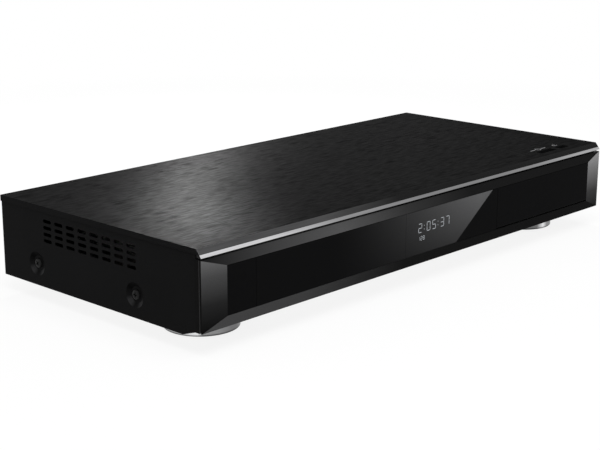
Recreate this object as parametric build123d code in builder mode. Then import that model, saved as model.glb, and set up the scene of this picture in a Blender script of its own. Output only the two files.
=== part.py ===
from build123d import *
import os
from math import acos, atan2, cos, degrees, hypot, pi, radians, sin, tan

# A slim disc recorder: steel case, brushed top plate, glossy front with a disc tray and a
# drop-down flap, and the disc drive, hard disc, boards and fan inside.
# Millimetres. X runs along the front, Y from front to back, Z up from the table.
# The origin is on the table, under the middle of the whole machine.

# Overall sizes.
case_width = 430.0
case_height = 66.0
case_depth = 199.0  # glossy front to rear panel
socket_reach = 9.0  # aerial sockets behind the rear panel
foot_height = 10.6

# Gaps, walls and the overrun of every cut.
running_gap = 0.3  # between pieces that move past each other
bearing_gap = 0.08  # round a shaft or pin in its bearing
overrun = 6.0
steel_sheet = 0.8
board_sheet = 1.6

# Front, as heights and widths of its bands.
bezel_lift = 4.2  # lower edge of the bezel above the underside of the pan
plate_edge = 5.1  # front edge of the top plate with its polished strip
shadow_gap = 1.4
bezel_depth = 5.3
panel_proud = 2.0  # glossy front before the outer edge of the bezel
facet_side = 19.0
facet_top = 6.0
facet_bottom = 7.5
panel_thickness = 3.0
web_thickness = 1.8
side_strip_width = 24.0  # fixed strip left of the tray's fascia
fascia_width = 142.0
window_width = 105.0

# Disc drive.
drive_width = 138.0
drive_depth = 173.0
drive_wall = 2.4
tray_travel = 134.0
tray_height = 8.5
tray_lift = 8.7  # underside of the tray above the lower edge of the glossy front
tray_hold = 30.0  # of the tray stays in the drive when it is out
spindle_setback = 69.0  # spindle behind the front of the tray
traverse_drop = 3.5  # degrees
sled_start = 14.6  # front of the laser sled behind the spindle
sled_length = 32.0
sled_travel = 34.0

# Gears, all with one pressure angle.
pressure_angle = 25.0
tooth_play = 0.16
tip_share = 0.95  # tip and root of a tooth from the pitch circle, in modules
root_share = 1.25
flank_steps = 3
rack_module = 1.0
pinion_teeth = 20
train_module = 0.8
wheel_teeth = 40
small_teeth = 14
pulley_radius = 8.5
motor_pulley_radius = 2.5

# Case and what stands in it.
pan_sheet = 1.0
dish_depth = 1.8
cover_inset = 0.9
plate_sheet = 1.6
foot_inset = 41.0
front_foot_setback = 45.0
rear_foot_inset = 30.0
power_board_width = 34.0
power_board_margin = 6.0
power_board_setback = 20.0
power_board_rear_gap = 10.0
main_board_size = (111.0, 104.0)
main_board_margin = 7.0
main_board_rear_gap = 5.0
hard_disc_size = (101.6, 147.0)
hard_disc_gap = 8.0
hard_disc_rear_gap = 16.0

# Places that many pieces share.
half_width = case_width / 2
panel_face = -(case_depth + socket_reach) / 2
rear_face = panel_face + case_depth
bezel_front = panel_face + panel_proud
bezel_rear = bezel_front + bezel_depth
bezel_bottom = foot_height + bezel_lift
bezel_top = case_height - plate_edge - shadow_gap
panel_half = half_width - facet_side
panel_bottom = bezel_bottom + facet_bottom
panel_top = bezel_top - facet_top
web_front = panel_face + panel_thickness + running_gap
web_rear = web_front + web_thickness
fascia_left = -panel_half + side_strip_width
fascia_right = fascia_left + fascia_width
window_right = fascia_right + window_width
drive_offset = (fascia_left + fascia_right) / 2  # middle of the drive and of the tray
reveal = running_gap / 2  # each panel of the front gives half of the gap beside it
cover_half = half_width - cover_inset
cover_inner = cover_half - steel_sheet
pan_half = cover_inner - dish_depth
pan_floor = foot_height + pan_sheet
cover_top = case_height - plate_sheet
foot_x = half_width - foot_inset
front_foot_y = bezel_front + front_foot_setback
rear_foot_y = rear_face - rear_foot_inset
power_board_left = -half_width + power_board_margin
power_board_x = (power_board_left, power_board_left + power_board_width)
power_board_y = (panel_face + power_board_setback, rear_face - power_board_rear_gap)
main_board_right = half_width - main_board_margin
main_board_rear = rear_face - main_board_rear_gap
main_board_x = (main_board_right - main_board_size[0], main_board_right)
main_board_y = (main_board_rear - main_board_size[1], main_board_rear)
hard_disc_left = drive_offset + drive_width / 2 + hard_disc_gap
hard_disc_rear = rear_face - hard_disc_rear_gap
hard_disc_x = (hard_disc_left, hard_disc_left + hard_disc_size[0])
hard_disc_y = (hard_disc_rear - hard_disc_size[1], hard_disc_rear)

os.makedirs("parts", exist_ok=True)


def block(x_span, y_span, z_span, mode=Mode.ADD):
    """A rectangular block between two places on each axis, in the part being built."""
    spans = (x_span, y_span, z_span)
    with Locations(tuple((low + high) / 2 for low, high in spans)):
        Box(*(high - low for low, high in spans), mode=mode)


def upright(place, z_span, radius, mode=Mode.ADD):
    """A round bar along Z at one place across and one depth."""
    low, high = z_span
    with Locations((place[0], place[1], (low + high) / 2)):
        Cylinder(radius, high - low, mode=mode)


def crosswise(place, x_span, radius, mode=Mode.ADD):
    """A round bar along X at one depth and height."""
    low, high = x_span
    with Locations(Location(((low + high) / 2, place[0], place[1]), (0, 90, 0))):
        Cylinder(radius, high - low, mode=mode)


def lengthwise(place, y_span, radius, mode=Mode.ADD):
    """A round bar along Y at one place across and one height."""
    low, high = y_span
    with Locations(Location((place[0], (low + high) / 2, place[1]), (90, 0, 0))):
        Cylinder(radius, high - low, mode=mode)


def from_front(depth):
    """The sketch plane at one depth, across and up. It extrudes towards the front."""
    return Plane.XZ.offset(-depth)


def about(middle, size):
    """The span of one size about its middle."""
    return (middle - size / 2, middle + size / 2)


def sided(side, near, far):
    """A span on one side of the middle, given as distances from it, low end first."""
    return tuple(sorted((side * near, side * far)))


def corners(x_span, y_span, inset):
    """The four places one inset in from the corners of a rectangle."""
    across = (x_span[0] + inset, x_span[1] - inset)
    along = (y_span[0] + inset, y_span[1] - inset)
    return [(x, y) for x in across for y in along]


def involute_turn(base, radius):
    """How far an involute has turned, in radians, where it reaches that radius."""
    angle = acos(min(1, base / radius))
    return tan(angle) - angle


def gear_points(module, teeth, first_tooth, middle):
    """The outline of a spur gear about its middle, with one tooth at the angle given."""
    pitch = module * teeth / 2
    base = pitch * cos(radians(pressure_angle))
    tip = pitch + module * tip_share
    root = pitch - module * root_share
    start = max(base, root)
    half_tooth = (pi * module / 2 - tooth_play) / 2 / pitch + involute_turn(base, pitch)
    flank = [start + (tip - start) * step / flank_steps for step in range(flank_steps + 1)]
    side = [(root, half_tooth)] if root < base else []
    side += [(radius, half_tooth - involute_turn(base, radius)) for radius in flank]
    points = []
    for tooth in range(teeth):
        angle = first_tooth + 2 * pi * tooth / teeth
        rising = [(radius, angle - turn) for radius, turn in side]
        falling = [(radius, angle + turn) for radius, turn in reversed(side)]
        for radius, turn in rising + falling:
            points.append((middle[0] + radius * cos(turn), middle[1] + radius * sin(turn)))
    return points


# Chassis pan: a steel floor that bends up at the front, low sides, and formed posts.
nose_run = 12.4
nose_end = bezel_rear + nose_run
pan_side_height = 21.4
pan_rear = rear_face - pan_sheet
foot_places = [(x, y) for x in (-foot_x, foot_x) for y in (front_foot_y, rear_foot_y)]
foot_screw_radius = 1.6
board_post_height = 4.4
post_radius = 3.0
post_inset = 5.0
board_level = pan_floor + board_post_height
disc_post_inset = 12.0
disc_post_height = 2.4
case_screw_radius = 1.5
screw_setbacks = (61.0, 160.0)
screw_height = 14.8
screw_places = [(bezel_front + setback, foot_height + screw_height) for setback in screw_setbacks]
pan_vent_count = 7
pan_vent_pitch = 9.0
pan_vent_size = (3.0, 26.0)
pan_vent_middle = (sum(main_board_x) / 2, sum(main_board_y) / 2)

with BuildPart() as chassis_pan:
    with BuildSketch(Plane.YZ.offset(-pan_half)):
        with BuildLine():
            Polyline(
                (bezel_rear, bezel_bottom),
                (nose_end, foot_height),
                (pan_rear, foot_height),
                (pan_rear, pan_floor),
                (nose_end, pan_floor),
                (bezel_rear, bezel_bottom + pan_sheet),
                close=True,
            )
        make_face()
    extrude(amount=2 * pan_half)
    for side in (-1, 1):
        block(sided(side, pan_half - pan_sheet, pan_half), (nose_end, pan_rear),
              (foot_height, foot_height + pan_side_height))
        for place in screw_places:
            crosswise(place, about(side * pan_half, overrun), case_screw_radius, Mode.SUBTRACT)
    for board in ((power_board_x, power_board_y), (main_board_x, main_board_y)):
        for place in corners(*board, post_inset):
            upright(place, (pan_floor, board_level), post_radius)
    for place in corners(hard_disc_x, hard_disc_y, disc_post_inset):
        upright(place, (pan_floor, pan_floor + disc_post_height), post_radius)
    for place in foot_places:
        upright(place, about(foot_height, 2 * overrun), foot_screw_radius, Mode.SUBTRACT)
    with Locations((*pan_vent_middle, foot_height)):
        with GridLocations(pan_vent_pitch, 0, pan_vent_count, 1):
            Box(*pan_vent_size, overrun, mode=Mode.SUBTRACT)
chassis_pan.part.label = "chassis_pan"
export_step(chassis_pan.part, "parts/chassis_pan.step")

# Case cover: one bent steel sheet over the top and both sides, with vents and screw dishes.
vent_columns = 8
vent_rows = 4
vent_column_pitch = 12.0
vent_row_pitch = 4.4
vent_length = 8.5
vent_height = 2.4
vent_corner = 0.7
vent_setback = 105.4
vent_drop = 16.7
dish_radius = 8.2
dish_floor_radius = 5.2
button_setback = 13.5
button_y = bezel_front + button_setback
button_insets = (55.5, 33.5)
button_x = [half_width - inset for inset in button_insets]
button_width = (19.0, 11.0)
button_length = 4.8


def button_hole(middle, width, level):
    """The hole that a push button passes, cut through the sheet at one level."""
    block(about(middle, width + 2 * running_gap), about(button_y, button_length + 2 * running_gap),
          about(level, 2 * plate_sheet), Mode.SUBTRACT)


with BuildPart() as case_cover:
    block((-cover_half, cover_half), (bezel_rear, rear_face), (foot_height, cover_top))
    block((-cover_inner, cover_inner), (bezel_rear - overrun, rear_face + overrun),
          (foot_height - overrun, cover_top - steel_sheet), Mode.SUBTRACT)
    for side in (-1, 1):
        block(sided(side, pan_half, cover_half), (nose_end, rear_face),
              (foot_height, foot_height + steel_sheet))
    with BuildSketch(Plane.YZ):
        with BuildLine():
            Polyline(
                (bezel_rear - overrun, bezel_bottom),
                (bezel_rear, bezel_bottom),
                (nose_end, foot_height),
                (nose_end, foot_height - overrun),
                (bezel_rear - overrun, foot_height - overrun),
                close=True,
            )
        make_face()
    extrude(amount=case_width, both=True, mode=Mode.SUBTRACT)
    with BuildSketch(Plane.YZ):
        with Locations((bezel_front + vent_setback, case_height - vent_drop)):
            with GridLocations(vent_column_pitch, vent_row_pitch, vent_columns, vent_rows):
                Rectangle(vent_length, vent_height)
        chamfer(vertices(), length=vent_corner)
    extrude(amount=case_width, both=True, mode=Mode.SUBTRACT)
    for side in (-1, 1):
        for place in screw_places:
            crosswise(place, about(side * cover_half, overrun), dish_radius, Mode.SUBTRACT)
            seat = (side * cover_half, *place)
            with BuildSketch(Plane(origin=seat, x_dir=(0, 1, 0), z_dir=(0, 0, side))):
                with BuildLine():
                    Polyline(
                        (dish_radius, 0),
                        (dish_floor_radius, dish_depth),
                        (case_screw_radius, dish_depth),
                        (case_screw_radius, dish_depth + steel_sheet),
                        (dish_floor_radius, dish_depth + steel_sheet),
                        (dish_radius, steel_sheet),
                        close=True,
                    )
                make_face()
            revolve(axis=Axis(seat, (1, 0, 0)))
    for middle, width in zip(button_x, button_width):
        button_hole(middle, width, cover_top)
case_cover.part.label = "case_cover"
export_step(case_cover.part, "parts/case_cover.step")

# Top plate: a brushed sheet with a sloping front and short sides turned down over the cover.
bevel_height = 3.3
bevel_run = 2.6
bevel_setback = 1.0
lip_depth = 2.4
plate_skirt = 4.2
plate_front = bezel_front + bevel_setback
lip_bottom = case_height - bevel_height

with BuildPart() as top_plate:
    with BuildSketch(Plane.YZ.offset(-half_width)):
        with BuildLine():
            Polyline(
                (plate_front, lip_bottom),
                (plate_front + bevel_run, case_height),
                (rear_face, case_height),
                (rear_face, case_height - plate_skirt),
                (plate_front + lip_depth, case_height - plate_skirt),
                (plate_front + lip_depth, lip_bottom),
                close=True,
            )
        make_face()
    extrude(amount=case_width)
    block((-cover_half, cover_half), (plate_front + lip_depth, rear_face + overrun),
          (cover_top - overrun, cover_top), Mode.SUBTRACT)
    for middle, width in zip(button_x, button_width):
        button_hole(middle, width, case_height)
top_plate.part.label = "top_plate"
export_step(top_plate.part, "parts/top_plate.step")

# Edge strip: a polished bar under the bevel of the top plate.
strip_proud = 0.3
strip_bottom = bezel_top + shadow_gap

with BuildPart() as edge_strip:
    with BuildSketch(Plane.YZ.offset(-half_width)):
        with BuildLine():
            Polyline(
                (plate_front, lip_bottom),
                (bezel_front - strip_proud, strip_bottom),
                (plate_front + lip_depth, strip_bottom),
                (plate_front + lip_depth, lip_bottom),
                close=True,
            )
        make_face()
    extrude(amount=case_width)
edge_strip.part.label = "edge_strip"
export_step(edge_strip.part, "parts/edge_strip.step")

# Feet: two wide metal-finished ones in front, two plain ones behind, each hollow from above.
foot_names = ("front_foot_left", "rear_foot_left", "front_foot_right", "rear_foot_right")
front_foot_radius = 24.5
rear_foot_radius = 15.0
foot_wall = 2.6
foot_floor = 2.0
foot_edge = 0.8
pad_height = 2.0
pad_proud = 0.6
pad_inset = 4.5
screw_boss_radius = 4.6
screw_head_radius = 3.1
screw_head_height = 1.8
foot_radii = [rear_foot_radius if y == rear_foot_y else front_foot_radius for _, y in foot_places]
foot_pocket_floor = pad_height + screw_head_height + foot_floor

for foot_name, foot_place, foot_radius in zip(foot_names, foot_places, foot_radii):
    with BuildPart() as foot:
        upright(foot_place, (pad_proud, foot_height), foot_radius)
        fillet(foot.edges().filter_by(GeomType.CIRCLE).group_by(Axis.Z)[0], radius=foot_edge)
        upright(foot_place, (foot_pocket_floor, foot_height + overrun), foot_radius - foot_wall,
                Mode.SUBTRACT)
        upright(foot_place, (foot_pocket_floor - foot_floor, foot_height), screw_boss_radius)
        upright(foot_place, (pad_proud - overrun, pad_height), foot_radius - pad_inset,
                Mode.SUBTRACT)
        upright(foot_place, (pad_height - overrun, pad_height + screw_head_height),
                screw_head_radius, Mode.SUBTRACT)
        upright(foot_place, (0, case_height), foot_screw_radius, Mode.SUBTRACT)
    foot.part.label = foot_name
    export_step(foot.part, f"parts/{foot_name}.step")

with BuildPart() as foot_pads:
    for place, radius in zip(foot_places, foot_radii):
        upright(place, (0, pad_height), radius - pad_inset)
foot_pads.part.label = "foot_pads"
export_step(foot_pads.part, "parts/foot_pads.step")

screw_reach = 3.4  # of a foot screw above the floor of the pan

with BuildPart() as foot_screws:
    for place in foot_places:
        upright(place, (pad_height, pad_height + screw_head_height), screw_head_radius)
        upright(place, (pad_height, pan_floor + screw_reach), foot_screw_radius)
foot_screws.part.label = "foot_screws"
export_step(foot_screws.part, "parts/foot_screws.step")

# Rear panel: a steel sheet with holes for the sockets, slots for the fan and more for the boards.
fan_headroom = 26.0
fan_board_gap = 37.0
fan_size = case_height - fan_headroom
fan_bottom = board_level
fan_middle_x = main_board_x[0] - fan_board_gap - fan_size / 2
fan_middle_z = fan_bottom + fan_size / 2
grille_shares = (0.1375, 0.2625, 0.3875)
grille_radii = [fan_size * share for share in grille_shares]
grille_width = 2.6
grille_spoke = 2.4
inlet_inset = 18.0
inlet_middle_x = power_board_x[0] + inlet_inset
inlet_size = (21.0, 14.0)
socket_floor = board_level + board_sheet
tuner_width = 17.0
tuner_margin = 2.0
tuner_headroom = 12.4
tuner_right = main_board_x[1] - tuner_margin
tuner_x = (tuner_right - tuner_width, tuner_right)
tuner_top = cover_top - tuner_headroom
aerial_radius = 4.75
aerial_shoulder_radius = 6.2
aerial_shoulder = 1.0
aerial_shares = (0.3, 0.74)
aerial_heights = [socket_floor + (tuner_top - socket_floor) * share for share in aerial_shares]
aerial_x = (tuner_x[0] + tuner_x[1]) / 2
video_insets = (15.0, 32.5)
video_size = (15.0, 6.4)
optical_inset = 47.5
optical_size = (9.6, 9.8)
data_inset = 62.0
data_size = (13.6, 6.8)
network_inset = 80.0
network_size = (15.6, 13.2)
video_middles = [main_board_x[0] + inset for inset in video_insets]
optical_middle = main_board_x[0] + optical_inset
data_middle = main_board_x[0] + data_inset
network_middle = main_board_x[0] + network_inset
socket_proud = 0.5
rear_vent_count = 9
rear_vent_pitch = 6.0
rear_vent_size = (2.4, 22.0)
rear_vent_shift = 19.0
rear_vent_middle = (drive_offset - rear_vent_shift, (pan_floor + cover_top) / 2)
inlet_middle_z = socket_floor + inlet_size[1] / 2
rear_screw_inset = 9.0
low_screw_gap = 13.0
top_screw_x = (-half_width + rear_screw_inset, fascia_right, sum(main_board_x) / 2,
               half_width - rear_screw_inset)
rear_screw_places = [(x, case_height - rear_screw_inset) for x in top_screw_x]
rear_screw_places.append((main_board_x[0] - low_screw_gap, foot_height + rear_screw_inset))
screw_cap_radius = 3.2
screw_cap_height = 1.5
screw_shaft = 4.6


def socket_hole(middle, size):
    """The hole for a socket that stands on the main board, a little wider than the socket."""
    with Locations((middle, socket_floor + size[1] / 2)):
        Rectangle(size[0] + running_gap, size[1] + running_gap)


with BuildPart() as rear_panel:
    block((-cover_inner, cover_inner), (pan_rear, rear_face), (pan_floor, cover_top - steel_sheet))
    with BuildSketch(from_front(rear_face + overrun)):
        socket_hole(inlet_middle_x, inlet_size)
        for middle in video_middles:
            socket_hole(middle, video_size)
        socket_hole(optical_middle, optical_size)
        socket_hole(data_middle, data_size)
        socket_hole(network_middle, network_size)
        with Locations(*((aerial_x, height) for height in aerial_heights)):
            Circle(aerial_shoulder_radius + running_gap)
        with Locations(*rear_screw_places):
            Circle(case_screw_radius)
        with Locations(rear_vent_middle):
            with GridLocations(rear_vent_pitch, 0, rear_vent_count, 1):
                Rectangle(*rear_vent_size)
        with Locations((fan_middle_x, fan_middle_z)):
            for radius in grille_radii:
                Circle(radius + grille_width / 2)
                Circle(radius - grille_width / 2, mode=Mode.SUBTRACT)
            Rectangle(fan_size, grille_spoke, mode=Mode.SUBTRACT)
            Rectangle(grille_spoke, fan_size, mode=Mode.SUBTRACT)
    extrude(amount=3 * overrun, mode=Mode.SUBTRACT)
rear_panel.part.label = "rear_panel"
export_step(rear_panel.part, "parts/rear_panel.step")

# Screws of the case: two in the dishes of each side, and a row in the rear panel.
with BuildPart() as case_screws:
    for side in (-1, 1):
        for place in screw_places:
            dish_face = cover_half - dish_depth
            crosswise(place, sided(side, dish_face, dish_face + screw_cap_height), screw_cap_radius)
            crosswise(place, sided(side, dish_face - screw_shaft, dish_face), case_screw_radius)
    for place in rear_screw_places:
        lengthwise(place, (rear_face, rear_face + screw_cap_height), screw_cap_radius)
        lengthwise(place, (rear_face - screw_shaft, rear_face), case_screw_radius)
case_screws.part.label = "case_screws"
export_step(case_screws.part, "parts/case_screws.step")

# Front bezel: four facets that rise to a pocket, a web behind it with its openings, and a
# tongue that hooks under the top plate.
tray_half = drive_width / 2 - drive_wall - running_gap
tray_bottom = panel_bottom + tray_lift
tray_top = tray_bottom + tray_height
rack_drop = 5.5
tray_margin = 0.6
tray_hole_x = about(drive_offset, 2 * (tray_half + tray_margin))
tray_hole_z = (tray_bottom - rack_drop - tray_margin, tray_top + tray_margin)
display_hole_insets = (8.0, 21.0)
display_hole_margins = (5.7, 4.5)
display_hole_x = (fascia_right + display_hole_insets[0], window_right - display_hole_insets[1])
display_hole_z = (panel_bottom + display_hole_margins[0], panel_top - display_hole_margins[1])
bay_margin = 3.0
bay_wall = 1.6
bay_x = (window_right + bay_margin + bay_wall, panel_half - bay_margin - reveal)
bay_z = (panel_bottom + bay_margin, panel_top - bay_margin + reveal)
tongue_sheet = 1.4
tongue_top = cover_top - 2 * steel_sheet
groove_setback = 0.6
groove_width = 1.4
groove_depth = 0.8
display_boss_inset = 6.0
display_boss_margins = (3.7, 2.5)
display_boss_x = (fascia_right + display_boss_inset, window_right - display_boss_inset)
display_boss_z = (panel_bottom + display_boss_margins[0], panel_top - display_boss_margins[1])
display_boss_places = [(x, z) for x in display_boss_x for z in display_boss_z]
display_boss_radius = 2.2
display_board_setback = 4.6
flap_pin_radius = 0.9
flap_pin_length = 2.4
flap_axis_y = panel_face + panel_thickness / 2
flap_axis_z = panel_bottom + running_gap + panel_thickness / 2

with BuildPart() as front_bezel:
    with BuildSketch(from_front(bezel_rear)):
        with Locations((0, (bezel_bottom + bezel_top) / 2)):
            Rectangle(case_width, bezel_top - bezel_bottom)
    extrude(amount=bezel_depth)
    with BuildSketch(from_front(bezel_front)):
        with Locations((0, (bezel_bottom + bezel_top) / 2)):
            Rectangle(case_width, bezel_top - bezel_bottom)
    with BuildSketch(from_front(panel_face)):
        with Locations((0, (panel_bottom + panel_top) / 2)):
            Rectangle(2 * panel_half, panel_top - panel_bottom)
    loft()
    block((-panel_half, panel_half), (panel_face - overrun, web_front), (panel_bottom, panel_top),
          Mode.SUBTRACT)
    block((-panel_half, panel_half), (web_rear, bezel_rear + overrun),
          (panel_bottom, panel_top), Mode.SUBTRACT)
    for hole_x, hole_z in ((tray_hole_x, tray_hole_z), (display_hole_x, display_hole_z),
                           (bay_x, bay_z)):
        block(hole_x, about(web_front, 2 * overrun), hole_z, Mode.SUBTRACT)
    block((-cover_inner, cover_inner), (bezel_rear - tongue_sheet, bezel_rear),
          (bezel_top, tongue_top))
    groove_y = (bezel_front + groove_setback, bezel_front + groove_setback + groove_width)
    for side in (-1, 1):
        block(sided(side, half_width - groove_depth, half_width + overrun), groove_y,
              (0, case_height), Mode.SUBTRACT)
    for place in display_boss_places:
        lengthwise(place, (web_rear, web_rear + display_board_setback), display_boss_radius)
    crosswise((flap_axis_y, flap_axis_z), (panel_half - running_gap, panel_half + 2 * flap_pin_length),
              flap_pin_radius + bearing_gap, Mode.SUBTRACT)
front_bezel.part.label = "front_bezel"
export_step(front_bezel.part, "parts/front_bezel.step")

# Glossy front: a fixed strip, the fascia of the tray, the display window and the flap.
panel_z = (panel_bottom + running_gap, panel_top - running_gap)
fixed_depth = (panel_face, web_front)
moving_depth = (panel_face, panel_face + panel_thickness)

with BuildPart() as panel_strip:
    block((-panel_half, fascia_left - reveal), fixed_depth, panel_z)
panel_strip.part.label = "panel_strip"
export_step(panel_strip.part, "parts/panel_strip.step")

with BuildPart() as tray_fascia:
    block((fascia_left + reveal, fascia_right - reveal), moving_depth, panel_z)
tray_fascia.part.label = "tray_fascia"
export_step(tray_fascia.part, "parts/tray_fascia.step")

with BuildPart() as display_window:
    block((fascia_right + reveal, window_right - reveal), fixed_depth, panel_z)
    crosswise((flap_axis_y, flap_axis_z), about(window_right, 2 * (flap_pin_length + running_gap)),
              flap_pin_radius + bearing_gap, Mode.SUBTRACT)
display_window.part.label = "display_window"
export_step(display_window.part, "parts/display_window.step")

# The flap turns on two pins low in its edge, which is rounded about them.
flap_x = (window_right + reveal, panel_half - running_gap)

with BuildPart() as front_flap:
    block(flap_x, moving_depth, (flap_axis_z, panel_z[1]))
    crosswise((flap_axis_y, flap_axis_z), flap_x, panel_thickness / 2)
    crosswise((flap_axis_y, flap_axis_z),
              (flap_x[0] - flap_pin_length, flap_x[1] + flap_pin_length), flap_pin_radius)
front_flap.part.label = "front_flap"
export_step(front_flap.part, "parts/front_flap.step")


# Bay behind the flap: a moulded box open to the front, with a shelf behind it that carries a
# data socket, a memory card slot and a pair of plug-in card slots.
bay_depth = 12.5
bay_back = web_rear + bay_depth
shelf_depth = 56.4
shelf_end = bay_back + shelf_depth
shelf_drop = 1.6
card_slots_width = 60.0
card_slots_inset = 4.85
card_slots_margin = 1.7
card_slots_right = bay_x[1] - card_slots_inset
card_slots_x = (card_slots_right - card_slots_width, card_slots_right)
card_slots_z = (bay_z[0] + card_slots_margin, bay_z[1] - card_slots_margin)
card_slots_depth = 72.0
card_slots_height = card_slots_z[1] - card_slots_z[0]
card_slot_width = 54.4
card_slot_share = 0.255
card_level_shares = (0.27, 0.73)
card_slot_size = (card_slot_width, card_slots_height * card_slot_share)
card_slot_levels = [card_slots_z[0] + card_slots_height * share for share in card_level_shares]
card_slot_floor = 3.0
memory_width = 26.0
memory_gap = 1.5
memory_right = card_slots_x[0] - memory_gap
memory_x = (memory_right - memory_width, memory_right)
memory_height = 4.2
memory_depth = 28.0
memory_slot_size = (24.2, 2.4)
front_data_gap = 2.7
front_data_middle = memory_x[0] - front_data_gap - data_size[0] / 2
shelf_left = front_data_middle - data_size[0] / 2 - front_data_gap
data_length = 15.0
data_wall = 0.6
data_tongue = (10.0, 1.8)
data_tongue_setback = 1.5
shelf_level = card_slots_z[0]
button_board_drop = 10.0
button_board_level = case_height - button_board_drop
button_board_ends = (16.0, 14.5)
button_board_sides = (7.0, 8.0)
button_board_x = (button_x[0] - button_board_ends[0], button_x[1] + button_board_ends[1])
button_board_y = (button_y - button_board_sides[0], button_y + button_board_sides[1])
button_post_radius = 2.0
button_post_inset = 5.0
button_post_offset = 3.5
button_post_places = [(button_board_x[0] + button_post_inset, button_y - button_post_offset),
                      (button_board_x[1] - button_post_inset, button_y - button_post_offset)]

with BuildPart() as card_bay:
    block((bay_x[0] - bay_wall, bay_x[1] + bay_wall), (web_rear, bay_back),
          (bay_z[0] - bay_wall, bay_z[1] + bay_wall))
    block(bay_x, (web_rear - overrun, bay_back - bay_wall), bay_z, Mode.SUBTRACT)
    block((shelf_left, bay_x[1]), (bay_back - bay_wall, shelf_end),
          (shelf_level - shelf_drop, shelf_level))
    block(card_slots_x, about(bay_back, overrun), card_slots_z, Mode.SUBTRACT)
    with BuildSketch(from_front(bay_back + overrun)):
        with Locations((front_data_middle, shelf_level + data_size[1] / 2)):
            Rectangle(data_size[0] + running_gap, data_size[1])
        with Locations((sum(memory_x) / 2, shelf_level + memory_height / 2)):
            Rectangle(*memory_slot_size)
    extrude(amount=2 * overrun + bay_wall, mode=Mode.SUBTRACT)
    for place in button_post_places:
        upright(place, (bay_z[1], button_board_level), button_post_radius)
card_bay.part.label = "card_bay"
export_step(card_bay.part, "parts/card_bay.step")

with BuildPart() as card_slots:
    block(card_slots_x, (bay_back - bay_wall, bay_back - bay_wall + card_slots_depth), card_slots_z)
    for level in card_slot_levels:
        block(about(sum(card_slots_x) / 2, card_slot_size[0]),
              (bay_back - bay_wall - overrun,
               bay_back - bay_wall + card_slots_depth - card_slot_floor),
              about(level, card_slot_size[1]), Mode.SUBTRACT)
card_slots.part.label = "card_slots"
export_step(card_slots.part, "parts/card_slots.step")

with BuildPart() as memory_card_slot:
    block(memory_x, (bay_back, bay_back + memory_depth), (shelf_level, shelf_level + memory_height))
    block(about(sum(memory_x) / 2, memory_slot_size[0]),
          (bay_back - overrun, bay_back + memory_depth - bay_wall),
          about(shelf_level + memory_height / 2, memory_slot_size[1]), Mode.SUBTRACT)
memory_card_slot.part.label = "memory_card_slot"
export_step(memory_card_slot.part, "parts/memory_card_slot.step")


def data_socket(middle, mouth, back, floor):
    """A data socket: a sheet metal shell with a flat tongue, its mouth at one depth."""
    inward = 1 if back > mouth else -1
    level = floor + data_size[1] / 2
    block(about(middle, data_size[0]), sorted((mouth, back)), (floor, floor + data_size[1]))
    block(about(middle, data_size[0] - 2 * data_wall),
          sorted((mouth - inward * overrun, back - inward * data_wall)),
          about(level, data_size[1] - 2 * data_wall), Mode.SUBTRACT)
    block(about(middle, data_tongue[0]), sorted((mouth + inward * data_tongue_setback, back)),
          about(level, data_tongue[1]))


with BuildPart() as data_sockets:
    data_socket(front_data_middle, bay_back - bay_wall, bay_back - bay_wall + data_length,
                shelf_level)
    data_socket(data_middle, rear_face + socket_proud, rear_face + socket_proud - data_length,
                socket_floor)
data_sockets.part.label = "data_sockets"
export_step(data_sockets.part, "parts/data_sockets.step")

# Push buttons in the top plate, and their board with a switch under each.
button_travel = 0.6
button_flange = 1.2
button_flange_height = 1.0
switch_height = 3.1
switch_radius = 1.8
button_edge = 0.5
button_bottom = button_board_level + board_sheet + switch_height + running_gap + button_travel
flange_top = cover_top - steel_sheet - reveal

for button_name, middle, width in zip(("power_button", "eject_button"), button_x, button_width):
    with BuildPart() as button:
        block(about(middle, width), about(button_y, button_length), (button_bottom, case_height))
        chamfer(button.faces().sort_by(Axis.Z)[-1].edges(), length=button_edge / 2)
        block(about(middle, width + 2 * button_flange), about(button_y, button_length + button_flange),
              (flange_top - button_flange_height, flange_top))
    button.part.label = button_name
    export_step(button.part, f"parts/{button_name}.step")

with BuildPart() as button_board:
    block(button_board_x, button_board_y,
          (button_board_level, button_board_level + board_sheet))
    for middle in button_x:
        board_top = button_board_level + board_sheet
        upright((middle, button_y), (board_top, board_top + switch_height), switch_radius)
        block(about(middle, 3 * switch_radius), about(button_y, 3 * switch_radius),
              (board_top, board_top + switch_radius))
button_board.part.label = "button_board"
export_step(button_board.part, "parts/button_board.step")

# Display: a glass module on its board, behind the window.
display_glass_inset = 2.0
display_glass_x = (display_hole_x[0] + display_glass_inset, display_hole_x[1] - display_glass_inset)
display_glass_z = (display_hole_z[0] + display_glass_inset, display_hole_z[1] - display_glass_inset)
display_glass_depth = 4.2
display_board_margin = 4.0

with BuildPart() as display_board:
    board_front = web_rear + display_board_setback
    block((display_boss_places[0][0] - display_board_margin,
           display_boss_places[-1][0] + display_board_margin),
          (board_front, board_front + board_sheet),
          (display_boss_places[0][1] - display_board_margin / 2,
           display_boss_places[1][1] + display_board_margin / 2))
display_board.part.label = "display_board"
export_step(display_board.part, "parts/display_board.step")

with BuildPart() as display_module:
    block(display_glass_x, (board_front - display_glass_depth, board_front), display_glass_z)
    chamfer(display_module.faces().sort_by(Axis.Y)[0].edges(), length=button_edge)
display_module.part.label = "display_module"
export_step(display_module.part, "parts/display_module.step")

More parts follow.
